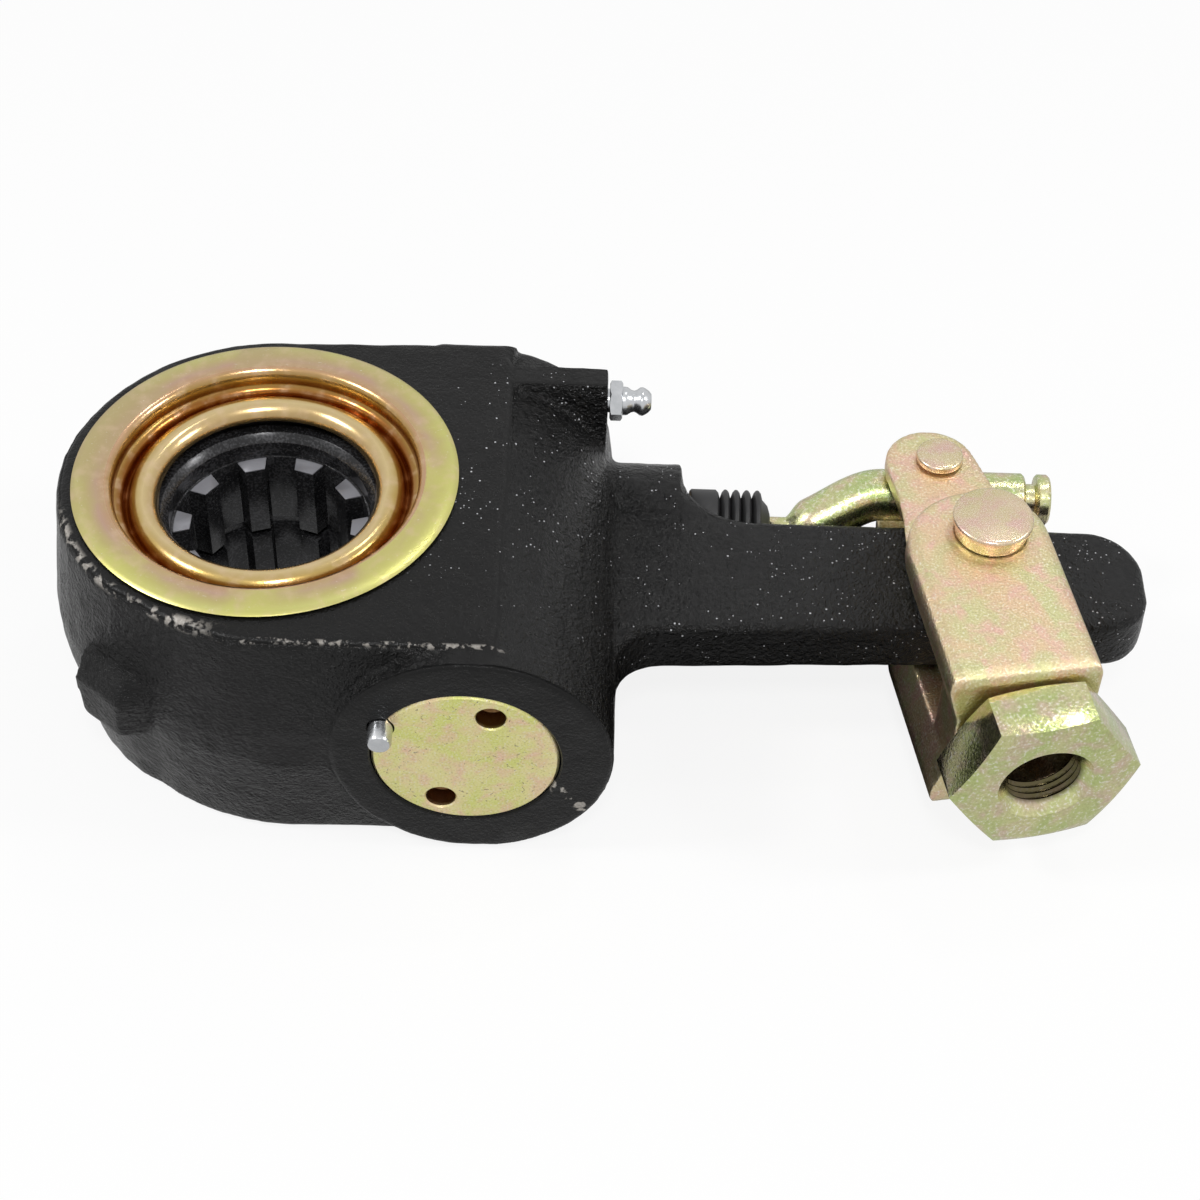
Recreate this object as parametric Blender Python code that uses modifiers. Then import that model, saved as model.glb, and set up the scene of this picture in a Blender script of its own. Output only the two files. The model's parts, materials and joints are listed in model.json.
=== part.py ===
"""Automatic brake slack adjuster for a truck's drum brake, lying on its side.

The lever turns a splined camshaft. A worm in its housing turns the worm wheel on that shaft, which takes up
the wear of the brake lining. The link from the clevis pulls a rack that turns the worm through a wrap spring.

Blender 4.5, in metres, +Z up. The housing rests on its lower face, the camshaft's bore is vertical, and the
arm points along +X. Sizes come first, then helpers, then one function for each piece.
"""

import math

import bmesh
import bpy
from mathutils import Matrix, Vector

MM = 0.001

# Clearances
GAP = 0.3 * MM
RUN = 0.5 * MM
MESH_BACKLASH = 0.5 * MM

# How far a cutter reaches past what it cuts
OVERCUT = 2.0 * MM

# Camshaft spline, 1.5 inch with ten teeth
SPLINE_TEETH = 10
SPLINE_R = 19.05 * MM
SPLINE_DEPTH = 3.3 * MM
SPLINE_SLOT = 5.94 * MM
SPLINE_GROOVE_W = 2.0 * MM
SPLINE_GROOVE_DEPTH = 0.4 * MM

# Worm wheel
HUB_WALL = 5.0 * MM
WHEEL_ROOT_WALL = 2.95 * MM
WHEEL_TEETH = 24
WHEEL_FACE = 13.0 * MM
HUB_SINK = 7.9 * MM
SPLINE_SINK = 13.0 * MM
HUB_FOOT = 1.0 * MM
THRUST_INSET = 4.0 * MM
UPPER_SEAL_L = 2.4 * MM
UPPER_SEAL_W = 3.6 * MM

# Worm shaft
WORM_ROOT_R = 7.3 * MM
SHAFT_R = 4.75 * MM
FRONT_JOURNAL_R = 6.0 * MM
THRUST_WASHER_L = 0.9 * MM
DISC_SPRING_L = 1.5 * MM
PINION_WASHER_L = 1.2 * MM
REAR_BUSH_LEAST = 5.6 * MM
REAR_BUSH_WALL = 4.3 * MM
SEAL_L = 1.5 * MM
ADJUST_NECK = 1.5 * MM
ADJUST_HEX_AF = 11.1 * MM
ADJUST_HEX_L = 9.5 * MM
PRESSURE_ANGLE = math.radians(20)

# Pinion, clutch and rack
PINION_TEETH = 17
PINION_MODULE = 1.0 * MM
PINION_W = 8.0 * MM
DRUM_R = 6.2 * MM
DRUM_L = 4.4 * MM
CLUTCH_WIRE_R = 0.7 * MM
PLUNGER_R = 8.6 * MM
PLUNGER_DROP = 5.0 * MM
PISTON_L = 11.5 * MM
BALL_R = 4.2 * MM

# Housing casting
RIM = 3.7 * MM
COVER_SEAT = 2.6 * MM
HEAD_BULGE = 2.9 * MM
PARTING_HALF = 3.0 * MM
FRONT_SWELL = 3.0 * MM
FRONT_SWELL_X = 6.0 * MM
REAR_SWELL = 1.2 * MM
EDGE_ROUND = 1.2 * MM
FLOOR_WALL = 9.0 * MM
BOSS_WALL = 9.1 * MM
BOSS_DROP = 0.3 * MM
BOSS_SHIFT = 1.1 * MM
BOSS_PROUD = 3.4 * MM
BOSS_TAPER = 2.2 * MM
BOSS_STEP = 1.5 * MM
BOSS_EDGE = 0.7 * MM
REAR_CORNER = 5.0 * MM
LINK_BOSS_WALL = 3.9 * MM
LUG_REACH = 24.7 * MM
LUG_TOP_W = 5.2 * MM
LUG_FOOT = 8.0 * MM
LUG_BACK = 4.8 * MM
LUG_ROUND = 3.0 * MM
PAD_ANGLE = math.radians(-129)
PAD_REACH = 3.2 * MM
PAD_SINK = 5.0 * MM
PAD_W = 15.0 * MM
PAD_LOW = -8.0 * MM
PAD_HIGH = 8.0 * MM
PAD_SLOPE = 5.0 * MM

# Arm
ARM_LENGTH = 139.7 * MM
ARM_THICK = 12.4 * MM
ARM_FRONT = 16.8 * MM
ARM_REAR = 13.5 * MM
ARM_TIP = 32.5 * MM
ARM_TAPER = 4.2 * MM
ARM_FILLET = 8.8 * MM
ARM_EDGE = 1.0 * MM
WALL_FILLET = 7.0 * MM
TIP_FRONT_R = 9.0 * MM
TIP_REAR_R = 11.0 * MM
POCKET_MORE = 6.5 * MM
ARM_BUSH_WALL = 1.6 * MM

# Pressed cover
COVER_SHEET = 1.2 * MM
COVER_FLANGE = 5.7 * MM
COVER_DEPTH = 6.0 * MM
COVER_LIP_SINK = 4.8 * MM
COVER_LIP_GAP = 2.6 * MM

# End plug and its lock pin
PLUG_LIP = 4.5 * MM
PLUG_L = 9.0 * MM
SPANNER_HOLE_R = 2.85 * MM
SPANNER_CIRCLE_R = 12.6 * MM
SPANNER_ANGLE = math.radians(67.5)
LOCK_PIN_R = 2.3 * MM
LOCK_PIN_L = 11.0 * MM
LOCK_PIN_PROUD = 4.6 * MM
LOCK_PIN_ANGLE = math.radians(151.5)

# Clevis yoke and its hex collar
CLEVIS_TILT = math.radians(10.5)
PLATE = 11.7 * MM
EAR = 4.4 * MM
YOKE_LEFT = 17.2 * MM
YOKE_RIGHT = 12.0 * MM
YOKE_SHOULDER_R = 11.8 * MM
YOKE_STEP_R = 15.8 * MM
YOKE_STEP_DROP = 4.4 * MM
YOKE_ROUND = 2.2 * MM
YOKE_DRAFT = 2.4 * MM
YOKE_BASE = 25.5 * MM
YOKE_END = 36.6 * MM
COLLAR_STAND = 0.9 * MM
COLLAR_END = 48.5 * MM
COLLAR_AF = 31.75 * MM
COLLAR_TURN = math.radians(5.5)
COLLAR_CHAMFER = math.radians(16)
THREAD_R = 7.94 * MM
SPIGOT_WALL = 3.2 * MM
SPIGOT_L = 4.6 * MM
COUNTERSINK_R = 9.3 * MM
PIN_FIT = 0.2 * MM
PIN_FOOT = 5.0 * MM
PIN_CHAMFER = 0.6 * MM
HEAD_THICK = 1.6 * MM
LARGE_PIN_R = 6.35 * MM
LARGE_NECK_R = 7.0 * MM
LARGE_HEAD_R = 7.8 * MM
LARGE_PIN_PROUD = 3.0 * MM
SMALL_PIN_R = 3.175 * MM
SMALL_NECK_R = 3.9 * MM
SMALL_HEAD_R = 4.7 * MM
SMALL_PIN_X = -6.9 * MM
SMALL_PIN_Y = 28.0 * MM
EAR_R = 9.2 * MM
EAR_SHIFT = 1.7 * MM
COTTER_R = 0.9 * MM
COTTER_DROP = 2.3 * MM
COTTER_REACH = 2.2 * MM
COTTER_TIP = 3.4 * MM

# Swing of the clevis from rest, each way
SWING_OUT = math.radians(20)
SWING_IN = math.radians(6)

# Link and boot
LINK_TUBE_R = 5.35 * MM
LINK_ROD_R = 2.6 * MM
LINK_TAIL = 18.5 * MM
LINK_FLANGE_R = 5.25 * MM
LINK_NECK_R = 3.2 * MM
LINK_OPEN_PIVOT = 0.75 * MM
LINK_NECK_L = 2.5 * MM
LINK_FLANGE_L = 2.7 * MM
LINK_RISE_SHARE = 0.65
LINK_SHOULDER_SHARE = 0.3
ROD_SWAY = 0.9 * MM
GUIDE_L = 5.3 * MM
BOOT_R = 7.9 * MM
BOOT_WALL = 1.1 * MM
BOOT_RING_DEPTH = 1.9 * MM
BOOT_STAND = 1.8 * MM
BOOT_COLLAR_SHARE = 0.12
BOOT_RINGS = 4
BOOT_RING_SHARE = 0.042
BOOT_TIP_L = 1.6 * MM

# Grease fitting
FITTING_AF = 7.2 * MM
FITTING_DROP = 7.0 * MM
FITTING_THREAD_R = 2.4 * MM
FITTING_THREAD_L = 7.0 * MM
FITTING_SET_IN = 8.8 * MM

# Worked out from the sizes above
HUB_R = SPLINE_R + HUB_WALL
WHEEL_ROOT_R = HUB_R + WHEEL_ROOT_WALL
WHEEL_MODULE = WHEEL_ROOT_R / (WHEEL_TEETH / 2 - 1.2)
WHEEL_PITCH_R = WHEEL_MODULE * WHEEL_TEETH / 2
WHEEL_TIP_R = WHEEL_PITCH_R + WHEEL_MODULE
WORM_PITCH_R = WORM_ROOT_R + 1.2 * WHEEL_MODULE
WORM_TIP_R = WORM_PITCH_R + WHEEL_MODULE
WORM_LEAD = math.pi * WHEEL_MODULE
WORM_X = WHEEL_PITCH_R + WORM_PITCH_R
WORM_BORE_R = WORM_TIP_R + 2 * GAP
PLUG_R = WORM_BORE_R + PLUG_LIP - GAP
BOSS_R = PLUG_R + BOSS_WALL
BOSS_X = WORM_X + BOSS_SHIFT
HEIGHT = 2 * (BOSS_R + BOSS_DROP)
MID = HEIGHT / 2
CAVITY_R = WHEEL_TIP_R + 2 * RUN
COVER_R = CAVITY_R + COVER_SEAT
HEAD_R = COVER_R + RIM
BODY_FRONT = HEAD_R + FRONT_SWELL
BODY_REAR = HEAD_R + REAR_SWELL
LINE_FRONT = GAP - BODY_FRONT

PINION_PITCH_R = PINION_MODULE * PINION_TEETH / 2
PINION_TIP_R = PINION_PITCH_R + PINION_MODULE
PINION_ROOT_R = PINION_PITCH_R - 1.25 * PINION_MODULE
PLUNGER_Z = MID - PLUNGER_DROP
PLUNGER_BORE_R = PLUNGER_R + GAP
LINK_BOSS_R = PLUNGER_BORE_R + LINK_BOSS_WALL
LINK_Y = ARM_REAR + BOOT_R + RUN
PINION_Y0 = LINK_Y - PINION_W / 2
WORM_HALF = PINION_Y0 - PINION_WASHER_L - 2 * GAP
DRUM_Y = LINK_Y + PINION_W / 2 + DRUM_L
SHAFT_DRUM_END = DRUM_Y + GAP + DRUM_L
CHAMBER_END = SHAFT_DRUM_END + GAP
REAR_BUSH_R = SHAFT_R + REAR_BUSH_WALL
REAR_FLAT = max(CHAMBER_END + REAR_BUSH_LEAST + SEAL_L + 2 * GAP - BOSS_STEP, BODY_REAR + RUN)
BOSS_REAR = REAR_FLAT + BOSS_STEP
REAR_BUSH_L = BOSS_REAR - CHAMBER_END - SEAL_L - 2 * GAP
BOSS_FACE = -(BODY_FRONT + BOSS_PROUD)
PLUG_INNER = BOSS_FACE + PLUG_L
FITTING_X = WORM_X + LUG_REACH
FITTING_Y = BODY_REAR - FITTING_SET_IN

SMALL_PIN_REACH = math.hypot(SMALL_PIN_X, SMALL_PIN_Y)
SLIDE_PER_RADIAN = SMALL_PIN_REACH - PIN_FIT
TRAVEL_OUT = SLIDE_PER_RADIAN * SWING_OUT
TRAVEL_IN = SLIDE_PER_RADIAN * SWING_IN
PISTON_X = WORM_X + PINION_TIP_R + TRAVEL_IN + RUN
PISTON_END = PISTON_X + PISTON_L
LINK_BOSS_END = PISTON_END + TRAVEL_OUT + RUN + GUIDE_L
LINK_ROOM = ARM_LENGTH + SMALL_PIN_X - LINK_BOSS_END
BOOT_COLLAR_L = BOOT_COLLAR_SHARE * LINK_ROOM
BOOT_RING_PITCH = BOOT_RING_SHARE * LINK_ROOM
BOOT_START = LINK_BOSS_END + BOOT_STAND
BOOT_END = BOOT_START + BOOT_COLLAR_L + BOOT_RINGS * BOOT_RING_PITCH + BOOT_TIP_L
BALL_X = PISTON_X + 0.55 * PISTON_L
RACK_X = WORM_X - TRAVEL_OUT - 2.6 * PINION_MODULE
SMALL_PIN_WORLD = Vector((ARM_LENGTH + SMALL_PIN_X, SMALL_PIN_Y, MID))

FORK_HALF_GAP = ARM_THICK / 2 + RUN
FORK_HALF = FORK_HALF_GAP + PLATE
EAR_HALF_GAP = LINK_TUBE_R + RUN
EAR_HALF = EAR_HALF_GAP + EAR
COLLAR_R = COLLAR_AF / 2 / math.cos(math.radians(30))
COLLAR_FACE_R = 0.95 * COLLAR_AF / 2
HUB_TOP = HEIGHT - HUB_SINK
ARM_HOLE_R = LARGE_PIN_R + ARM_BUSH_WALL + 2 * GAP
ARM_END = ARM_LENGTH + ARM_TIP
ADJUST_START = BOSS_REAR + ADJUST_NECK
ADJUST_END = ADJUST_START + ADJUST_HEX_L

# The row's origin lies under the middle of the whole part
CENTRE_X = (ARM_END - HEAD_R - HEAD_BULGE) / 2
FRONT_Y = COLLAR_END * math.cos(CLEVIS_TILT) + COLLAR_FACE_R * math.sin(CLEVIS_TILT)
CENTRE_Y = (ADJUST_END - FRONT_Y) / 2

ALONG_X = Matrix.Rotation(math.radians(90), 4, "Y")
ALONG_Y = Matrix.Rotation(math.radians(-90), 4, "X")
STEPS = 40
FINE_STEPS = 24


# Helpers


def make_material(name, colour, roughness, metallic):
    made = bpy.data.materials.new(name)
    made.use_nodes = True
    shader = made.node_tree.nodes["Principled BSDF"]
    shader.inputs["Base Color"].default_value = (*colour, 1)
    shader.inputs["Roughness"].default_value = roughness
    shader.inputs["Metallic"].default_value = metallic
    return made


def place(name, data, material=None, parent=None, matrix=None, collection=None):
    """Adds an object at matrix, which is given in its parent's frame."""
    made = bpy.data.objects.new(name, data)
    (collection or parts).objects.link(made)
    if material:
        data.materials.append(material)
        data.shade_smooth()
        data.set_sharp_from_angle(angle=math.radians(35))
    made.parent = parent
    made.matrix_basis = matrix or Matrix()
    return made


def from_bmesh(name, shape):
    bmesh.ops.recalc_face_normals(shape, faces=shape.faces)
    mesh = bpy.data.meshes.new(name)
    shape.to_mesh(mesh)
    shape.free()
    return mesh


def cylinder(name, radius, low, high, steps=STEPS, far_radius=None):
    """A cylinder or cone along Z between two heights."""
    shape = bmesh.new()
    bmesh.ops.create_cone(
        shape, cap_ends=True, segments=steps, radius1=radius,
        radius2=radius if far_radius is None else far_radius, depth=high - low,
        matrix=Matrix.Translation((0, 0, (low + high) / 2)),
    )
    return from_bmesh(name, shape)


def box(name, low, high):
    shape = bmesh.new()
    size = Vector(high) - Vector(low)
    middle = (Vector(high) + Vector(low)) / 2
    matrix = Matrix.Translation(middle) @ Matrix.Diagonal((*size, 1))
    bmesh.ops.create_cube(shape, size=1, matrix=matrix)
    return from_bmesh(name, shape)


def loft(name, layers, bent=False):
    """Joins outlines of as many points each, bottom to top, and closes both ends. Bent sides are triangulated."""
    shape = bmesh.new()
    rings = [[shape.verts.new(point) for point in layer] for layer in layers]
    count = len(rings[0])
    for lower, upper in zip(rings, rings[1:]):
        for i in range(count):
            j = (i + 1) % count
            shape.faces.new((lower[i], lower[j], upper[j], upper[i]))
    if bent:
        bmesh.ops.triangulate(shape, faces=shape.faces)
    shape.faces.new(rings[0][::-1])
    shape.faces.new(rings[-1])
    return from_bmesh(name, shape)


def grown(outline, distance):
    """The closed outline moved outward by distance, corner by corner. It runs anticlockwise."""
    moved = []
    for i, point in enumerate(outline):
        before = (point - outline[i - 1]).normalized()
        after = (outline[(i + 1) % len(outline)] - point).normalized()
        bisector = (Vector((before.y, -before.x)) + Vector((after.y, -after.x))).normalized()
        moved.append(point + bisector * distance / max(0.5, bisector.dot(Vector((after.y, -after.x)))))
    return moved


def slab(name, outline, steps):
    """A loft of one outline: each step is a height and how far the outline has grown there."""
    return loft(name, [[(p.x, p.y, z) for p in grown(outline, more)] for z, more in steps])


def arc(x, y, radius, start, end, count):
    """Points along an arc, with its angles in degrees."""
    turns = [math.radians(start + (end - start) * i / (count - 1)) for i in range(count)]
    return [Vector((x + radius * math.cos(turn), y + radius * math.sin(turn))) for turn in turns]


def turned(name, profile, material=None, parent=None, matrix=None, collection=None, steps=STEPS):
    """A closed or axis-to-axis profile of radius and height, turned about Z. It runs down its outer side."""
    shape = bmesh.new()
    points = [shape.verts.new((radius, 0, z)) for radius, z in profile]
    for a, b in zip(points, points[1:]):
        shape.edges.new((a, b))
    if profile[0][0] > 0:
        shape.edges.new((points[-1], points[0]))
    mesh = bpy.data.meshes.new(name)
    shape.to_mesh(mesh)
    shape.free()
    made = place(name, mesh, material, parent, matrix, collection)
    screw = made.modifiers.new("turn", "SCREW")
    screw.steps = steps
    screw.render_steps = steps
    screw.use_merge_vertices = True
    screw.merge_threshold = 0.00001
    return made


def ring(name, inner, outer, low, high, material, parent, matrix=None, steps=STEPS):
    profile = [(inner, high), (outer, high), (outer, low), (inner, low)]
    return turned(name, profile, material, parent, matrix, steps=steps)


def helper(data, parent=None, matrix=None):
    """A cutter, or a shape that is joined to a piece."""
    made = place(data.name, data, parent=parent, matrix=matrix, collection=cutters)
    made.hide_render = True
    made.display_type = "WIRE"
    return made


def turned_helper(name, profile, parent=None, matrix=None, steps=STEPS):
    """A cutter or a joined shape that is turned about Z."""
    made = turned(name, profile, parent=parent, matrix=matrix, collection=cutters, steps=steps)
    made.hide_render = True
    made.display_type = "WIRE"
    return made


def boolean(target, other, operation):
    step = target.modifiers.new(operation.lower(), "BOOLEAN")
    step.operation = operation
    step.object = other
    step.solver = "EXACT"


def cut(target, data, parent=None, matrix=None):
    boolean(target, helper(data, parent, matrix), "DIFFERENCE")


def join(target, data, parent=None, matrix=None):
    boolean(target, helper(data, parent, matrix), "UNION")


def empty(name, location, parent=None, rotation=None):
    made = bpy.data.objects.new(name, None)
    parts.objects.link(made)
    made.parent = parent
    made.matrix_basis = Matrix.Translation(location) @ (rotation or Matrix())
    return made


def hexagon(across_flats):
    """A hexagon with a flat towards +Y."""
    return arc(0, 0, across_flats / 2 / math.cos(math.radians(30)), 0, 300, 6)


def join_hex(target, name, across_flats, low, high, parent, matrix=None):
    """Joins a hexagonal prism along Z whose corners are turned down at both ends."""
    made = helper(slab(name, hexagon(across_flats), [(low, 0), (high, 0)]), parent, matrix)
    face_r = across_flats / 2 * 0.97
    reach = across_flats / 2 / math.cos(math.radians(30)) + 0.1 * MM
    drop = 0.6 * (reach - face_r)
    corners = [(0, high), (face_r, high), (reach, high - drop), (reach, low + drop), (face_r, low), (0, low)]
    boolean(made, turned_helper(name + "_corners", corners, parent, matrix, FINE_STEPS), "INTERSECT")
    boolean(target, made, "UNION")


def tube_along(name, points, radii, sides=16):
    """A tube through points that run along +X, with a radius at each. Its rings stand across X."""
    layers = []
    for point, radius in zip(points, radii):
        ring = arc(0, 0, radius, 0, 360 - 360 / sides, sides)
        layers.append([point + Vector((0, p.x, p.y)) for p in ring])
    return loft(name, layers)


def gear_outline(teeth, module, root, tip, backlash, gap_at=0.0):
    """An involute gear's outline with a tooth gap at the angle gap_at."""
    pitch_r = module * teeth / 2
    base_r = pitch_r * math.cos(PRESSURE_ANGLE)
    at_pitch = (math.pi * module - 2 * backlash) / 4 / pitch_r
    flank = math.tan(PRESSURE_ANGLE) - PRESSURE_ANGLE

    def half_angle(radius):
        pressure = math.acos(min(1, base_r / radius))
        return at_pitch + flank - (math.tan(pressure) - pressure)

    points = []
    for tooth in range(teeth):
        middle = gap_at + (tooth + 0.5) * 2 * math.pi / teeth
        radii = [root, pitch_r, tip]
        sides = [(r, -half_angle(r)) for r in radii] + [(r, half_angle(r)) for r in reversed(radii)]
        points += [Vector((r * math.cos(middle + a), r * math.sin(middle + a))) for r, a in sides]
    return points


# Housing


def body_outline():
    """The casting seen from above, left of the worm's boss."""
    meet = 231
    left = arc(0, 0, HEAD_R, 90, meet, 20)
    front = arc(FRONT_SWELL_X, 0, BODY_FRONT, meet, 270, 7)
    right = [
        Vector((BOSS_X - 0.6 * BOSS_R, LINE_FRONT)),
        Vector((BOSS_X + 5 * MM, LINE_FRONT)),
        Vector((BOSS_X + 5 * MM, BODY_REAR - 6 * MM)),
        Vector((BOSS_X + 2 * MM, BODY_REAR)),
    ]
    return left + front + right


def arm_outline():
    root = BOSS_X + 0.3 * BOSS_R
    wall = BOSS_X + BOSS_R
    end = ARM_END
    near = ARM_FRONT - ARM_TAPER
    pocket = BOOT_R + POCKET_MORE
    foot = -ARM_FRONT - 1.5 * ARM_FILLET
    return (
        [Vector((root, foot)), Vector((wall, foot))]
        + arc(wall + ARM_FILLET, -ARM_FRONT - ARM_FILLET, ARM_FILLET, 180, 90, 7)
        + arc(end - TIP_FRONT_R, -near + TIP_FRONT_R, TIP_FRONT_R, 270, 352, 7)
        + arc(end - TIP_REAR_R, ARM_REAR - TIP_REAR_R, TIP_REAR_R, 8, 90, 8)
        + arc(LINK_BOSS_END + pocket, ARM_REAR + pocket, pocket, 270, 183, 8)
        + [Vector((root, LINK_Y))]
    )


def wall_fillet(name, side, radius, low_y, high_y):
    """The hollow curve where the arm meets the boss: side is 1 above the arm and -1 below it."""
    face = ARM_THICK / 2
    rise = face + radius
    run = math.sqrt((BOSS_R + radius) ** 2 - rise**2)
    centre_x = BOSS_X + run
    start = math.degrees(math.atan2(-rise, -run))
    curve = arc(centre_x, rise, radius, start, -90, 8)
    points = [Vector((BOSS_X + 0.5 * run, 0))] + [Vector((centre_x, 0))] + curve[::-1]
    points.append(Vector((BOSS_X + 0.5 * run, rise * BOSS_R / (BOSS_R + radius) - 2 * MM)))
    layers = [[(p.x, y, MID + side * p.y) for p in points] for y in (low_y, high_y)]
    return loft(name, layers)


def link_frame():
    return Matrix.Translation((0, LINK_Y, PLUNGER_Z)) @ ALONG_X


def worm_frame():
    return Matrix.Translation((WORM_X, 0, MID)) @ ALONG_Y


def pad_shape():
    """A flat-faced pad on the head's wall: its outer face ends in a point on the right, and its top slopes down."""
    wall = HEAD_R + HEAD_BULGE
    deep = wall - PAD_SINK
    face = wall + PAD_REACH
    layers = []
    for z, reach, side in ((PAD_LOW, face - PAD_REACH / 3, 0.8), (PAD_LOW + PAD_REACH / 2, face, 0.9),
                           (PAD_HIGH - PAD_SLOPE, face, 1.0), (PAD_HIGH, wall, 1.0)):
        half = side * PAD_W / 2
        layers.append([(deep, -half, z), (reach, -half, z), (reach, half - PAD_REACH, z), (deep, half + PAD_REACH, z)])
    return loft("pad", layers)


def make_housing():
    outline = body_outline()
    body = slab(
        "housing", outline,
        [(0, -EDGE_ROUND), (EDGE_ROUND, 0), (MID - PARTING_HALF, HEAD_BULGE), (MID + PARTING_HALF, HEAD_BULGE),
         (HEIGHT - EDGE_ROUND, 0), (HEIGHT, -EDGE_ROUND)],
    )
    made = place("housing", body, cast_paint, root)
    front = BOSS_FACE
    boss_at = Matrix.Translation((BOSS_X, 0, MID)) @ ALONG_Y
    rear_r = BOSS_R - BOSS_TAPER
    boss_profile = [(0, BOSS_REAR), (rear_r - BOSS_STEP, BOSS_REAR), (rear_r, BOSS_REAR - BOSS_STEP),
                    (BOSS_R, ARM_REAR), (BOSS_R, front + BOSS_EDGE), (BOSS_R - BOSS_EDGE, front), (0, front)]
    boolean(made, turned_helper("worm_boss", boss_profile, root, boss_at), "UNION")
    rear_left = BOSS_X - 0.6 * BOSS_R
    inside = BODY_REAR - REAR_CORNER
    rear_pad = [Vector((rear_left, inside)), Vector((BOSS_X + REAR_CORNER, inside)),
                Vector((BOSS_X + REAR_CORNER, REAR_FLAT)), Vector((rear_left + REAR_CORNER, REAR_FLAT))]
    top = HEIGHT - BOSS_DROP
    join(made, slab("rear_pad", rear_pad, [(MID, 0), (top - EDGE_ROUND, 0), (top, -EDGE_ROUND)]), root)
    half = ARM_THICK / 2
    arm = [(MID - half, -ARM_EDGE), (MID - half + ARM_EDGE, 0), (MID + half - ARM_EDGE, 0), (MID + half, -ARM_EDGE)]
    join(made, slab("arm_plate", arm_outline(), arm), root)
    for side, name in ((1, "fillet_above"), (-1, "fillet_below")):
        join(made, wall_fillet(name, side, WALL_FILLET, ARM_EDGE - ARM_FRONT, ARM_REAR), root)
    join(made, cylinder("link_boss", LINK_BOSS_R, BOSS_X, LINK_BOSS_END, FINE_STEPS), root, link_frame())
    lug_x = FITTING_X
    top = HEIGHT - MM / 2
    ridge = FITTING_Y
    lug_layers = []
    for z, low_y, high_y in ((MID, ridge - LUG_FOOT, ridge + LUG_BACK),
                             (top - 1.6 * FITTING_DROP, ridge - LUG_BACK, ridge + LUG_BACK),
                             (top - LUG_ROUND, ridge - LUG_TOP_W / 2 - MM, ridge + LUG_TOP_W / 2 + MM),
                             (top, ridge - LUG_TOP_W / 2, ridge + LUG_TOP_W / 2)):
        lug_layers.append([(BOSS_X, low_y, z), (lug_x, low_y, z), (lug_x, high_y, z), (BOSS_X, high_y, z)])
    join(made, loft("fitting_lug", lug_layers), root)
    join(made, pad_shape(), root, Matrix.Translation((0, 0, MID)) @ Matrix.Rotation(PAD_ANGLE, 4, "Z"))

    over = OVERCUT
    cut(made, cylinder("cover_recess", COVER_R + GAP, HEIGHT - COVER_SHEET - GAP, HEIGHT + over), root)
    cut(made, cylinder("wheel_cavity", CAVITY_R, FLOOR_WALL, HEIGHT + over), root)
    cut(made, cylinder("floor_bore", HUB_R + GAP, -over, HEIGHT), root)
    cut(made, cylinder("worm_bore", WORM_BORE_R, front - over, CHAMBER_END), root, worm_frame())
    cut(made, cylinder("plug_bore", PLUG_R + GAP, front - over, PLUG_INNER + GAP), root, worm_frame())
    rear_r = REAR_BUSH_R + GAP
    cut(made, cylinder("rear_bore", rear_r, 0, BOSS_REAR + over, FINE_STEPS), root, worm_frame())
    pin_x = PLUG_R * math.cos(LOCK_PIN_ANGLE)
    pin_z = -PLUG_R * math.sin(LOCK_PIN_ANGLE)
    pin_cut = cylinder("lock_pin_hole", LOCK_PIN_R + GAP, front - over, front + LOCK_PIN_L, FINE_STEPS)
    cut(made, pin_cut, root, worm_frame() @ Matrix.Translation((pin_x, pin_z, 0)))
    plunger_bore = cylinder("plunger_bore", PLUNGER_BORE_R, RACK_X - TRAVEL_IN - 2 * RUN, LINK_BOSS_END + over, 32)
    cut(made, plunger_bore, root, link_frame())
    pocket_end = BOOT_END + 3 * BOOT_RING_PITCH
    cut(made, cylinder("boot_pocket", BOOT_R + RUN, LINK_BOSS_END, pocket_end, FINE_STEPS), root, link_frame())
    cut(made, cylinder("arm_hole", ARM_HOLE_R, 0, HEIGHT, 32), root, Matrix.Translation((ARM_LENGTH, 0, 0)))
    fitting_at = Matrix.Translation((lug_x, ridge, HEIGHT - FITTING_DROP)) @ ALONG_X
    fitting_hole = cylinder("fitting_hole", FITTING_THREAD_R + GAP, -FITTING_THREAD_L - 2 * RUN, over, 16)
    cut(made, fitting_hole, root, fitting_at)
    return made


# Worm wheel and what holds it


def spline_outline():
    """The camshaft's bore: ten slots between teeth that reach inward."""
    inner_r = SPLINE_R - SPLINE_DEPTH
    at_outer = math.asin(SPLINE_SLOT / 2 / SPLINE_R)
    at_inner = math.asin(SPLINE_SLOT / 2 / inner_r)
    points = []
    for slot in range(SPLINE_TEETH):
        middle = 2 * math.pi * (slot + 0.5) / SPLINE_TEETH
        spokes = [(inner_r, -at_inner), (SPLINE_R, -at_outer), (SPLINE_R, 0), (SPLINE_R, at_outer),
                  (inner_r, at_inner)]
        points += [Vector((r * math.cos(middle + a), r * math.sin(middle + a))) for r, a in spokes]
    return points


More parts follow.
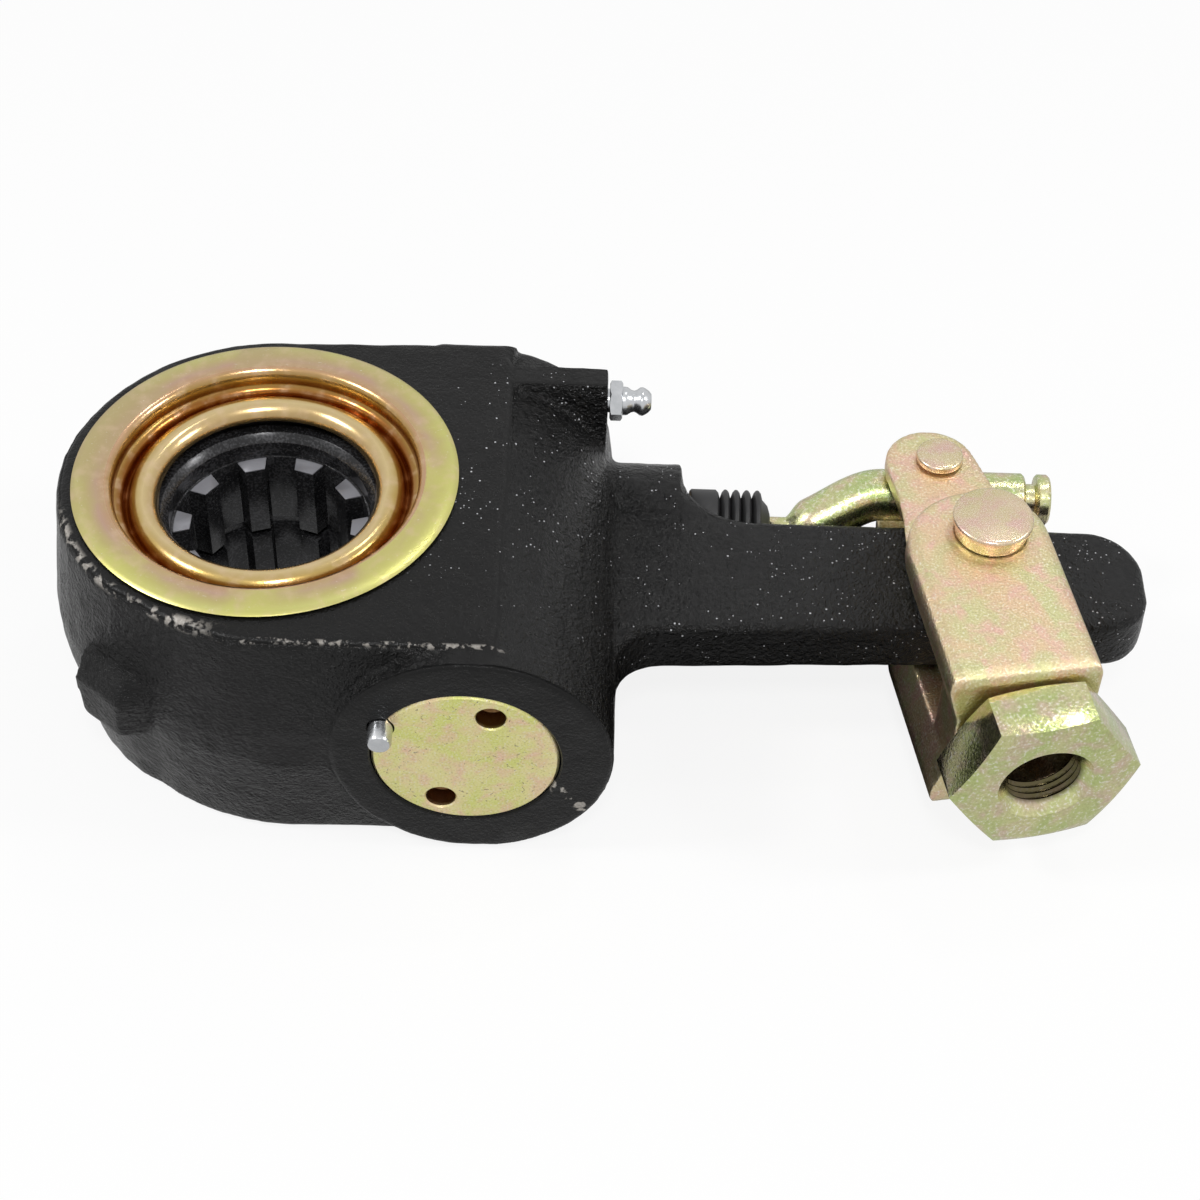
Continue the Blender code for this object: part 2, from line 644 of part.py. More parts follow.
def make_worm_wheel():
    half = WHEEL_FACE / 2
    hub = [(0, HUB_TOP), (HUB_R - MM, HUB_TOP), (HUB_R, HUB_TOP - MM), (HUB_R, HUB_FOOT + MM),
           (HUB_R - MM, HUB_FOOT), (0, HUB_FOOT)]
    made = turned("worm_wheel", hub, black_steel, wheel_axis, Matrix.Translation((0, 0, -MID)))
    lean = WORM_LEAD / (2 * math.pi * WORM_PITCH_R) / WHEEL_PITCH_R
    rim = gear_outline(WHEEL_TEETH, WHEEL_MODULE, WHEEL_ROOT_R, WHEEL_TIP_R, MESH_BACKLASH)
    layers = []
    for z, scale in ((-half, 0.985), (-half + 0.8 * MM, 1), (half - 0.8 * MM, 1), (half, 0.985)):
        turn = Matrix.Rotation(lean * z, 2)
        layers.append([(*(turn @ p * scale), z) for p in rim])
    join(made, loft("wheel_teeth", layers), wheel_axis)
    bore = slab("spline_bore", spline_outline(), [(-MID - 2 * MM, 0), (HUB_TOP - MID + 2 * MM, 0)])
    cut(made, bore, wheel_axis)
    mouth = [(0, HUB_TOP + MM - MID), (HUB_R - 2.4 * MM, HUB_TOP + MM - MID),
             (SPLINE_R + 0.35 * MM, HUB_TOP - 1.6 * MM - MID),
             (SPLINE_R + 0.35 * MM, HEIGHT - SPLINE_SINK - MID), (0, HEIGHT - SPLINE_SINK - MID)]
    boolean(made, turned_helper("spline_mouth", mouth, wheel_axis), "DIFFERENCE")
    groove = cylinder("spline_groove", SPLINE_R + SPLINE_GROOVE_DEPTH, -2.9 * MM - SPLINE_GROOVE_W, -2.9 * MM)
    cut(made, groove, wheel_axis)
    return made


def make_cover():
    """The pressed and zinc plated ring round the camshaft: a flange, a channel and a rolled lip."""
    top = HEIGHT
    flange_r = COVER_R - COVER_FLANGE
    lip_r = SPLINE_R + COVER_LIP_GAP
    crest = (flange_r + lip_r) / 2 - 1.2 * MM
    half = COVER_SHEET / 2
    line = [(COVER_R, top), (flange_r, top), (flange_r - 0.9 * MM, top - 3.4 * MM),
            (flange_r - 2.2 * MM, top - 4.4 * MM), (flange_r - 3.4 * MM, top - COVER_DEPTH),
            (crest + 1.4 * MM, top - 3.9 * MM), (crest - 0.6 * MM, top - 3.1 * MM),
            (lip_r + 0.6 * MM, top - COVER_LIP_SINK + 0.9 * MM), (lip_r, top - COVER_LIP_SINK)]
    points = [Vector((r, z - half)) for r, z in line]
    under = []
    for i, point in enumerate(points):
        before = (point - points[max(i - 1, 0)])
        after = (points[min(i + 1, len(points) - 1)] - point)
        along = (before.normalized() + after.normalized()).normalized()
        side = Vector((-along.y, along.x))
        under.append((point + side * half, point - side * half))
    upper = [tuple(b) for a, b in under]
    lower = [tuple(a) for a, b in under]
    profile = upper[::-1] + lower
    return turned("side_cover", profile, zinc, root)


def make_wheel_supports():
    low_top = MID - WHEEL_FACE / 2 - GAP
    ring("lower_thrust_ring", HUB_R + GAP, CAVITY_R - THRUST_INSET, FLOOR_WALL + GAP, low_top, bronze, root, steps=32)
    top = HUB_TOP - UPPER_SEAL_L - GAP
    ring("wheel_bushing", HUB_R + GAP, CAVITY_R - GAP, MID + WORM_TIP_R + GAP, top, bronze, root, steps=32)
    inner = HUB_R + GAP
    outer = HUB_R + UPPER_SEAL_W
    seal_top = top + UPPER_SEAL_L
    seal = [(inner, seal_top), ((inner + 2 * outer) / 3, seal_top), (outer, (top + 2 * seal_top) / 3),
            (outer, top + GAP), (inner, top + GAP)]
    turned("upper_seal", seal, rubber, root, steps=32)


# Worm shaft, its bearings, plug and clutch


def make_worm_shaft():
    inner = PLUG_INNER
    stub = inner - PLUG_L * 0.45
    neck = ADJUST_START
    shoulder = inner + THRUST_WASHER_L + DISC_SPRING_L + 3 * GAP
    stem_r = SHAFT_R - PIN_FIT
    profile = [(0, neck + OVERCUT), (stem_r, neck + OVERCUT), (stem_r, CHAMBER_END), (SHAFT_R, CHAMBER_END),
               (SHAFT_R, WORM_HALF), (WORM_ROOT_R, WORM_HALF), (WORM_ROOT_R, shoulder),
               (FRONT_JOURNAL_R, shoulder), (FRONT_JOURNAL_R, stub), (0, stub)]
    made = turned("worm_shaft", profile, steel, worm_axis, steps=FINE_STEPS)
    join(made, worm_thread(), worm_axis)
    drum = [(SHAFT_R - MM, SHAFT_DRUM_END), (DRUM_R, SHAFT_DRUM_END), (DRUM_R, DRUM_Y + GAP),
            (SHAFT_R - MM, DRUM_Y + GAP)]
    boolean(made, turned_helper("shaft_drum", drum, worm_axis, steps=FINE_STEPS), "UNION")
    join_hex(made, "adjusting_hex", ADJUST_HEX_AF, neck, ADJUST_END, worm_axis)
    return made


def worm_thread():
    """The worm's one thread, a trapezoid swept along a right-hand helix, centred on the side towards the wheel."""
    per_turn = 20
    half_length = WORM_HALF - WORM_LEAD / 2
    turns = 2 * half_length / WORM_LEAD
    count = int(turns * per_turn)
    slope = math.tan(PRESSURE_ANGLE)
    middle = (WORM_LEAD / 4) - MESH_BACKLASH / 2
    sunk = WORM_ROOT_R - 0.6 * MM
    wide = middle + (WORM_PITCH_R - sunk) * slope
    narrow = middle - WHEEL_MODULE * slope
    section = [(sunk, -wide), (WORM_TIP_R, -narrow), (WORM_TIP_R, narrow), (sunk, wide)]
    layers = []
    for i in range(count + 1):
        offset = (i - count / 2) * WORM_LEAD / per_turn
        turn = math.pi + 2 * math.pi * offset / WORM_LEAD
        layers.append([(r * math.cos(turn), r * math.sin(turn), offset + z) for r, z in section])
    return loft("worm_thread", layers)


def make_pinion():
    """The ratchet pinion that the rack turns, with the drum that the wrap spring grips."""
    teeth = gear_outline(PINION_TEETH, PINION_MODULE, PINION_ROOT_R, PINION_TIP_R, 0.15 * MM, math.radians(90))
    made = place("rack_pinion", slab("rack_pinion", teeth, [(PINION_Y0, 0), (PINION_Y0 + PINION_W, 0)]),
                 steel, pinion_axis)
    drum = cylinder("pinion_drum", DRUM_R, PINION_Y0 + MM, DRUM_Y, FINE_STEPS)
    join(made, drum, pinion_axis)
    cut(made, cylinder("pinion_bore", SHAFT_R + GAP, PINION_Y0 - MM, DRUM_Y + MM, FINE_STEPS), pinion_axis)
    return made


def make_clutch_spring():
    """A wrap spring over the pinion's drum and the shaft's drum."""
    mean_r = DRUM_R + GAP + CLUTCH_WIRE_R
    start = DRUM_Y - DRUM_L + GAP + CLUTCH_WIRE_R
    end = SHAFT_DRUM_END - CLUTCH_WIRE_R
    pitch = 2 * CLUTCH_WIRE_R + 0.35 * MM
    turns = (end - start) / pitch
    per_turn = 12
    count = int(turns * per_turn)
    layers = []
    for i in range(count + 1):
        turn = 2 * math.pi * i / per_turn
        z = start + (end - start) * i / count
        spokes = arc(0, 0, CLUTCH_WIRE_R, 0, 300, 6)
        layers.append([((mean_r + p.x) * math.cos(turn), (mean_r + p.x) * math.sin(turn), z + p.y) for p in spokes])
    return place("clutch_spring", loft("clutch_spring", layers), spring_steel, pinion_axis)


def make_shaft_fittings():
    washer_low = WORM_HALF + GAP
    ring("pinion_washer", SHAFT_R + GAP, PINION_ROOT_R, washer_low, washer_low + PINION_WASHER_L, steel, worm_axis,
         steps=FINE_STEPS)
    ring("rear_bush", SHAFT_R + 0.2 * MM, REAR_BUSH_R, CHAMBER_END, CHAMBER_END + REAR_BUSH_L, bronze, root,
         worm_frame(), FINE_STEPS)
    seal_low = CHAMBER_END + REAR_BUSH_L + GAP
    ring("shaft_seal", SHAFT_R + 0.2 * MM, REAR_BUSH_R, seal_low, seal_low + SEAL_L, rubber, root, worm_frame(),
         FINE_STEPS)
    washer = PLUG_INNER + GAP
    ring("front_thrust_washer", FRONT_JOURNAL_R + GAP, WORM_BORE_R - GAP, washer, washer + THRUST_WASHER_L, steel,
         root, worm_frame(), FINE_STEPS)
    inner = FRONT_JOURNAL_R + GAP
    outer = WORM_BORE_R - MM
    low = washer + THRUST_WASHER_L + GAP
    half = DISC_SPRING_L / 2
    cup = [(inner, low + 2 * half), (outer, low + half), (outer, low), (inner, low + half)]
    turned("disc_spring", cup, spring_steel, root, worm_frame(), steps=FINE_STEPS)


def make_end_plug():
    front = BOSS_FACE + 0.3 * MM
    profile = [(0, PLUG_INNER), (PLUG_R, PLUG_INNER), (PLUG_R, front + 0.5 * MM), (PLUG_R - 0.5 * MM, front),
               (0, front)]
    made = turned("end_plug", profile, zinc, root, worm_frame())
    socket = PLUG_INNER - PLUG_L * 0.45 - GAP
    plug_socket = cylinder("plug_socket", FRONT_JOURNAL_R + 0.2 * MM, socket, PLUG_INNER + MM, FINE_STEPS)
    cut(made, plug_socket, root, worm_frame())
    for index in range(2):
        turn = SPANNER_ANGLE + index * math.pi
        x = SPANNER_CIRCLE_R * math.cos(turn)
        z = -SPANNER_CIRCLE_R * math.sin(turn)
        hole = cylinder(f"spanner_hole_{index}", SPANNER_HOLE_R, front - MM, front + 5 * MM, FINE_STEPS)
        cut(made, hole, root, worm_frame() @ Matrix.Translation((x, z, 0)))
    pin_x = PLUG_R * math.cos(LOCK_PIN_ANGLE)
    pin_z = -PLUG_R * math.sin(LOCK_PIN_ANGLE)
    at = worm_frame() @ Matrix.Translation((pin_x, pin_z, 0))
    notch = cylinder("plug_pin_notch", LOCK_PIN_R + GAP, front - 2 * MM, PLUG_INNER + 2 * MM, FINE_STEPS)
    cut(made, notch, root, at)
    low = front - LOCK_PIN_PROUD
    pin = [(0, low + LOCK_PIN_L), (LOCK_PIN_R - 0.4 * MM, low + LOCK_PIN_L), (LOCK_PIN_R, low + LOCK_PIN_L - 0.4 * MM),
           (LOCK_PIN_R, low + 0.3 * MM), (LOCK_PIN_R - 0.3 * MM, low), (0, low)]
    turned("lock_pin", pin, bright_steel, root, at, steps=16)


# Rack plunger, link and boot


def make_plunger():
    """The piston in the link's boss, with a rack that reaches under the pinion."""
    local = PLUNGER_Z
    profile = [(0, PISTON_END), (PLUNGER_R - 0.5 * MM, PISTON_END), (PLUNGER_R, PISTON_END - 0.5 * MM),
               (PLUNGER_R, RACK_X + 0.5 * MM), (PLUNGER_R - 0.5 * MM, RACK_X), (0, RACK_X)]
    made = turned("rack_plunger", profile, steel, plunger_axis, Matrix.Translation((-BALL_X, 0, 0)) @ ALONG_X,
                  steps=FINE_STEPS)
    pitch_z = MID - PINION_PITCH_R - local
    tip_z = pitch_z + PINION_MODULE
    root_z = pitch_z - 1.25 * PINION_MODULE
    wide = PLUNGER_R + MM
    cut(made, box("rack_top", (RACK_X - MM - BALL_X, -wide, tip_z), (PISTON_X - BALL_X, wide, wide)), plunger_axis)
    cut(made, rack_gaps(tip_z, pitch_z, root_z, wide), plunger_axis)
    for side, name in ((1, "rack_side_rear"), (-1, "rack_side_front")):
        near, far = sorted((side * PINION_W / 2, side * wide))
        cut(made, box(name, (RACK_X - MM - BALL_X, near, -wide), (PISTON_X - BALL_X, far, wide)), plunger_axis)
    socket = [(0, PISTON_END + MM), (BALL_R + GAP, PISTON_END + MM), (BALL_R + GAP, BALL_X)]
    socket += [((BALL_R + GAP) * math.cos(math.radians(a)), BALL_X - (BALL_R + GAP) * math.sin(math.radians(a)))
               for a in (22.5, 45, 67.5)]
    socket.append((0, BALL_X - BALL_R - GAP))
    at = Matrix.Translation((-BALL_X, 0, 0)) @ ALONG_X
    boolean(made, turned_helper("ball_socket", socket, plunger_axis, at, 16), "DIFFERENCE")
    ring("ball_retainer", LINK_ROD_R + 0.8 * MM, BALL_R + 0.1 * MM, PISTON_END - 1.4 * MM, PISTON_END - 0.2 * MM,
         spring_steel, plunger_axis, at, steps=16)


def rack_gaps(tip_z, pitch_z, root_z, wide):
    """One comb that cuts every gap of the rack, with a tooth left under the pinion's axis at rest."""
    pitch = math.pi * PINION_MODULE
    slope = math.tan(PRESSURE_ANGLE)
    gap_half = pitch / 4 + 0.075 * MM
    first = math.ceil((RACK_X + pitch / 2 - WORM_X) / pitch - 0.5)
    last = math.floor((PISTON_X - pitch / 2 - WORM_X) / pitch - 0.5)
    above = tip_z + 2 * MM
    points = []
    for index in range(first, last + 1):
        middle = WORM_X + (index + 0.5) * pitch - BALL_X
        top = gap_half + (tip_z + 0.2 * MM - pitch_z) * slope
        bottom = gap_half - (pitch_z - root_z) * slope
        z = tip_z + 0.2 * MM
        points += [(middle - top, z), (middle - bottom, root_z), (middle + bottom, root_z), (middle + top, z)]
    points += [(points[-1][0], above), (points[0][0], above)]
    return loft("rack_gaps", [[(x, y, z) for x, z in points] for y in (wide, -wide)])


def link_path():
    """Points in the link's own frame, from its ball to its tail, with the radius at each."""
    rise = SMALL_PIN_WORLD - Vector((BALL_X, LINK_Y, PLUNGER_Z))
    bend = BOOT_END + TRAVEL_IN + RUN - BALL_X
    room = LINK_RISE_SHARE * (rise.x - bend)
    points = [Vector((0, 0, 0)), Vector((bend, 0, 0))]
    radii = [LINK_ROD_R, LINK_ROD_R]
    steps = 9
    for i in range(1, steps + 1):
        t = i / steps
        ease = t * t * (3 - 2 * t)
        grow = math.sin(math.pi / 2 * min(1.0, t / LINK_SHOULDER_SHARE))
        points.append(Vector((bend + room * t, rise.y * ease, rise.z * ease)))
        radii.append(LINK_ROD_R + (LINK_TUBE_R - LINK_ROD_R) * grow)
    points.append(Vector((rise.x + LINK_TAIL, rise.y, rise.z)))
    radii.append(LINK_TUBE_R)
    return points, radii, rise


def make_link():
    points, radii, rise = link_path()
    made = place("link", tube_along("link", points, radii), zinc, link_axis)
    ball = bmesh.new()
    bmesh.ops.create_uvsphere(ball, u_segments=16, v_segments=8, radius=BALL_R)
    join(made, from_bmesh("link_ball", ball), link_axis)
    tail = rise.x + LINK_TAIL
    flange = tail + LINK_NECK_L
    end = flange + LINK_FLANGE_L
    edge = LINK_FLANGE_L / 6
    profile = [(0, end), (LINK_FLANGE_R - edge, end), (LINK_FLANGE_R, end - edge), (LINK_FLANGE_R, flange + edge),
               (LINK_FLANGE_R - edge, flange), (LINK_NECK_R, flange), (LINK_NECK_R, tail - OVERCUT),
               (0, tail - OVERCUT)]
    at = Matrix.Translation((0, rise.y, rise.z)) @ ALONG_X
    boolean(made, turned_helper("link_end", profile, link_axis, at, 16), "UNION")
    reach = LINK_TUBE_R + OVERCUT
    eye = cylinder("link_eye", SMALL_PIN_R + LINK_OPEN_PIVOT, -reach, reach, FINE_STEPS)
    cut(made, eye, link_axis, Matrix.Translation(rise))


def make_boot():
    """Guide bush in the boss, and the rubber boot that grips it and wipes the rod."""
    start = LINK_BOSS_END
    valley_r = BOOT_R - BOOT_RING_DEPTH
    inner_r = valley_r - BOOT_WALL
    nose_r = inner_r - GAP
    nose_end = BOOT_START + 0.8 * BOOT_COLLAR_L
    bore_r = LINK_ROD_R + ROD_SWAY
    bush = [(bore_r, nose_end), (nose_r, nose_end), (nose_r, start), (PLUNGER_R, start),
            (PLUNGER_R, start - GUIDE_L), (bore_r, start - GUIDE_L)]
    turned("guide_bush", bush, bronze, root, link_frame(), steps=FINE_STEPS)
    collar_end = BOOT_START + BOOT_COLLAR_L
    half = BOOT_RING_PITCH / 2
    outer = [(BOOT_R - GAP, BOOT_START), (BOOT_R - GAP / 2, collar_end - GAP), (valley_r + BOOT_WALL, collar_end)]
    for index in range(BOOT_RINGS):
        at = collar_end + (index + 0.5) * BOOT_RING_PITCH
        outer += [(valley_r, at - 0.87 * half), (BOOT_R, at - 0.3 * half), (BOOT_R, at + 0.3 * half)]
    end = BOOT_END - BOOT_TIP_L
    outer += [(valley_r, end), (LINK_ROD_R + 2 * BOOT_WALL, end + 0.75 * BOOT_TIP_L), (LINK_ROD_R + RUN, BOOT_END)]
    inner = [(inner_r, BOOT_START), (inner_r, end - BOOT_WALL / 2), (LINK_ROD_R + RUN, end)]
    turned("boot", outer[::-1] + inner, rubber, root, link_frame(), steps=20)


# Clevis yoke, collar and pins


def yoke_outline(inset):
    """The fork seen from above, in the clevis's own frame: -Y runs to the collar, +Y to the small pin.

    The side away from the arm's tip leans in by inset.
    """
    ear_x, ear_y = small_pin_local()
    left = inset - YOKE_LEFT
    return (
        [Vector((left, -YOKE_END)), Vector((YOKE_RIGHT, -YOKE_END)), Vector((YOKE_RIGHT, 0))]
        + arc(YOKE_RIGHT - YOKE_SHOULDER_R, 0, YOKE_SHOULDER_R, 12, 36, 3)
        + arc(ear_x - EAR_SHIFT, ear_y, EAR_R, 12, 180, 12)
        + [Vector((0.82 * left, 0.45 * ear_y)), Vector((left, -0.1 * ear_y))]
    )


def small_pin_local():
    turned_back = Matrix.Rotation(-CLEVIS_TILT, 2) @ Vector((SMALL_PIN_X, SMALL_PIN_Y))
    return turned_back.x, turned_back.y


def make_yoke():
    lean = YOKE_DRAFT
    levels = [(FORK_HALF_GAP - RUN, 0, lean), (FORK_HALF - 2 * YOKE_ROUND, 0, 0), (FORK_HALF - YOKE_ROUND, 0, 0),
              (FORK_HALF - 0.3 * YOKE_ROUND, -0.3 * YOKE_ROUND, 0), (FORK_HALF, -YOKE_ROUND, 0)]
    layers = []
    for z, more, inset in [(-z, more, inset) for z, more, inset in levels[::-1]] + levels:
        layers.append([(p.x, p.y, z) for p in grown(yoke_outline(inset), more)])
    made = place("clevis_yoke", loft("clevis_yoke", layers, bent=True), zinc, clevis_axis)
    ear_x, ear_y = small_pin_local()
    wide = YOKE_LEFT + OVERCUT
    far = ear_y + EAR_R + OVERCUT
    slot = box("arm_slot", (-wide, -YOKE_BASE, -FORK_HALF_GAP), (wide, far, FORK_HALF_GAP))
    cut(made, slot, clevis_axis)
    step_x = YOKE_LEFT - YOKE_STEP_R
    round_step = (
        arc(YOKE_RIGHT - YOKE_SHOULDER_R, 0, YOKE_SHOULDER_R + MM / 10, 0, 80, 8)
        + arc(-step_x, -YOKE_STEP_DROP, YOKE_STEP_R + MM / 10, 95, 180, 9)
    )
    around = [Vector((-wide, -YOKE_STEP_DROP)), Vector((-wide, far)), Vector((wide, far)), Vector((wide, 0))]
    for low, high, name in ((EAR_HALF, FORK_HALF + OVERCUT, "ear_step_above"),
                            (-FORK_HALF - OVERCUT, -EAR_HALF, "ear_step_below")):
        cut(made, slab(name, round_step + around, [(low, 0), (high, 0)]), clevis_axis)
    cut(made, cylinder("large_pin_hole", LARGE_PIN_R + PIN_FIT, -wide, wide, 32), clevis_axis)
    cut(made, cylinder("small_pin_hole", SMALL_PIN_R + PIN_FIT, -wide, wide, 24), clevis_axis,
        Matrix.Translation((ear_x, ear_y, 0)))
    spigot_r = THREAD_R + SPIGOT_WALL
    spigot_end = YOKE_END + SPIGOT_L
    collar_at = Matrix.Rotation(math.radians(90), 4, "X")
    spigot = cylinder("collar_spigot", spigot_r, YOKE_END - OVERCUT, spigot_end, FINE_STEPS)
    join(made, spigot, clevis_axis, collar_at)
    way = cylinder("rod_clearance", THREAD_R + 2 * GAP, YOKE_BASE - OVERCUT, spigot_end + OVERCUT, FINE_STEPS)
    cut(made, way, clevis_axis, collar_at)


def make_collar():
    """The hexagonal threaded collar that the chamber's push rod screws into."""
    at = Matrix.Rotation(math.radians(90), 4, "X") @ Matrix.Rotation(COLLAR_TURN, 4, "Z")
    low = YOKE_END + COLLAR_STAND
    made = place("threaded_collar", slab("threaded_collar", hexagon(COLLAR_AF), [(low, 0), (COLLAR_END, 0)]), zinc,
                 clevis_axis, at)
    drop = (COLLAR_R - COLLAR_FACE_R) * math.tan(COLLAR_CHAMFER)
    wide = COLLAR_R + OVERCUT
    far_drop = (wide - COLLAR_FACE_R) * math.tan(COLLAR_CHAMFER)
    turned_shape = [(0, COLLAR_END), (COLLAR_FACE_R, COLLAR_END), (wide, COLLAR_END - far_drop),
                    (wide, low + far_drop), (COLLAR_FACE_R, low), (0, low)]
    boolean(made, turned_helper("collar_corners", turned_shape, clevis_axis, at, 36), "INTERSECT")
    bore = [(0, COLLAR_END + OVERCUT), (COUNTERSINK_R + OVERCUT, COLLAR_END + OVERCUT), (COUNTERSINK_R, COLLAR_END),
            (THREAD_R, COLLAR_END - 2 * drop), (THREAD_R, low - OVERCUT), (0, low - OVERCUT)]
    boolean(made, turned_helper("collar_bore", bore, clevis_axis, at, 32), "DIFFERENCE")
    seat_r = THREAD_R + SPIGOT_WALL + GAP
    cut(made, cylinder("spigot_seat", seat_r, low - MM, YOKE_END + SPIGOT_L + GAP, FINE_STEPS), clevis_axis, at)


def headed_pin(name, radius, neck_r, head_r, seat, proud, end, parent):
    """A clevis pin: its neck lifts the head proud of the fork's face at seat, and its foot reaches to end."""
    top = seat + proud + HEAD_THICK
    edge = HEAD_THICK / 3
    profile = [(0, top), (head_r - edge, top), (head_r, top - edge), (head_r, top - HEAD_THICK),
               (neck_r, top - HEAD_THICK), (neck_r, seat + GAP), (radius, seat + GAP),
               (radius, end + PIN_CHAMFER), (radius - PIN_CHAMFER, end), (0, end)]
    return turned(name, profile, zinc, parent, steps=FINE_STEPS)


def make_pins():
    for name, radius, neck_r, head_r, seat, proud, parent in (
        ("large", LARGE_PIN_R, LARGE_NECK_R, LARGE_HEAD_R, FORK_HALF, LARGE_PIN_PROUD, clevis_axis),
        ("small", SMALL_PIN_R, SMALL_NECK_R, SMALL_HEAD_R, EAR_HALF, 2 * GAP, small_pin_axis),
    ):
        pin = headed_pin(name + "_clevis_pin", radius, neck_r, head_r, seat, proud, -seat - PIN_FOOT, parent)
        at = Matrix.Translation((0, 0, -seat - COTTER_DROP))
        reach = radius + COTTER_REACH
        cut(pin, cylinder(name + "_cotter_hole", COTTER_R + GAP, -reach, reach, 16), parent, at @ ALONG_X)
        make_cotter(name + "_cotter", parent, at, radius)
    ring("arm_bushing", LARGE_PIN_R + PIN_FIT, ARM_HOLE_R - GAP, MID - ARM_THICK / 2, MID + ARM_THICK / 2, bronze,
         root, Matrix.Translation((ARM_LENGTH, 0, 0)), steps=32)


def make_cotter(name, parent, matrix, pin_r):
    """A split pin: its legs lie together in the pin's hole, and their tips are bent down."""
    reach = pin_r + COTTER_REACH
    bend = COTTER_REACH / 4
    points = [(-reach + bend, 0), (reach - 2 * bend, 0), (reach, -bend), (reach + bend, -3 * bend),
              (reach + bend, -COTTER_TIP)]
    curve = bpy.data.curves.new(name, "CURVE")
    curve.dimensions = "3D"
    curve.bevel_depth = COTTER_R
    curve.bevel_resolution = 2
    curve.use_fill_caps = True
    spline = curve.splines.new("POLY")
    spline.points.add(len(points) - 1)
    for point, (x, z) in zip(spline.points, points):
        point.co = (x, 0, z, 1)
    made = bpy.data.objects.new(name, curve)
    parts.objects.link(made)
    curve.materials.append(steel)
    made.parent = parent
    made.matrix_basis = matrix
    return made


# Grease fitting


def make_grease_fitting():
    at = Matrix.Translation((FITTING_X, FITTING_Y, HEIGHT - FITTING_DROP)) @ ALONG_X
    profile = [(0, 8.7 * MM), (1.5 * MM, 8.7 * MM), (2.3 * MM, 7.9 * MM), (2.9 * MM, 7.0 * MM), (2.9 * MM, 6.4 * MM),
               (2.2 * MM, 5.4 * MM), (2.2 * MM, 4.9 * MM), (2.9 * MM, 3.9 * MM), (2.9 * MM, 2.0 * MM),
               (FITTING_THREAD_R, 2.0 * MM), (FITTING_THREAD_R, -FITTING_THREAD_L), (0, -FITTING_THREAD_L)]
    made = turned("grease_fitting", profile, bright_steel, root, at, steps=16)
    join_hex(made, "fitting_hex", FITTING_AF, GAP, 2.9 * MM, root, at)
    cut(made, cylinder("fitting_way", 0.9 * MM, 6.4 * MM, 10 * MM, 12), root, at)
    ball = bmesh.new()
    bmesh.ops.create_uvsphere(ball, u_segments=8, v_segments=6, radius=0.6 * MM)
    place("fitting_ball", from_bmesh("fitting_ball", ball), bright_steel, root, at @ Matrix.Translation((0, 0, 7.4 * MM)))


# Assembly

for old in list(bpy.data.objects):
    bpy.data.objects.remove(old)
parts = bpy.data.collections.new("brake_slack_adjuster")
cutters = bpy.data.collections.new("cutters")
bpy.context.scene.collection.children.link(parts)
bpy.context.scene.collection.children.link(cutters)

cast_paint = make_material("cast_paint", (0.012, 0.012, 0.013), 0.38, 0.0)
black_steel = make_material("black_steel", (0.02, 0.02, 0.022), 0.35, 0.6)
zinc = make_material("zinc_chromate", (0.62, 0.52, 0.26), 0.32, 1.0)
steel = make_material("steel", (0.42, 0.41, 0.40), 0.35, 1.0)
bright_steel = make_material("bright_steel", (0.72, 0.73, 0.75), 0.25, 1.0)
spring_steel = make_material("spring_steel", (0.22, 0.22, 0.23), 0.4, 1.0)
bronze = make_material("bronze", (0.55, 0.33, 0.14), 0.38, 1.0)
rubber = make_material("rubber", (0.015, 0.015, 0.016), 0.7, 0.0)

root = empty("slack_adjuster", (-CENTRE_X, -CENTRE_Y, 0))
wheel_axis = empty("wheel_axis", (0, 0, MID), root)
worm_axis = empty("worm_axis", (WORM_X, 0, MID), root, ALONG_Y)
pinion_axis = empty("pinion_axis", (WORM_X, 0, MID), root, ALONG_Y)
plunger_axis = empty("plunger_axis", (BALL_X, LINK_Y, PLUNGER_Z), root)
link_axis = empty("link_axis", (0, 0, 0), plunger_axis)
clevis_axis = empty("clevis_axis", (ARM_LENGTH, 0, MID), root, Matrix.Rotation(CLEVIS_TILT, 4, "Z"))
small_pin_axis = empty("small_pin_axis", (*small_pin_local(), 0), clevis_axis)

make_housing()
make_worm_wheel()
make_cover()
make_wheel_supports()
make_worm_shaft()
make_pinion()
make_clutch_spring()
make_shaft_fittings()
make_end_plug()
make_plunger()
make_link()
make_boot()
make_yoke()
make_collar()
make_pins()
make_grease_fitting()
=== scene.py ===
"""The looks of an automatic brake slack adjuster, a lever that takes up the wear of a truck's drum brake.

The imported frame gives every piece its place. Sizes are in metres, in the frame's own axes: the arm runs along +X,
the camshaft's bore stands along +Z, and the adjusting hex points along +Y.
"""

import json
import math

import bpy
from mathutils import Matrix, Vector


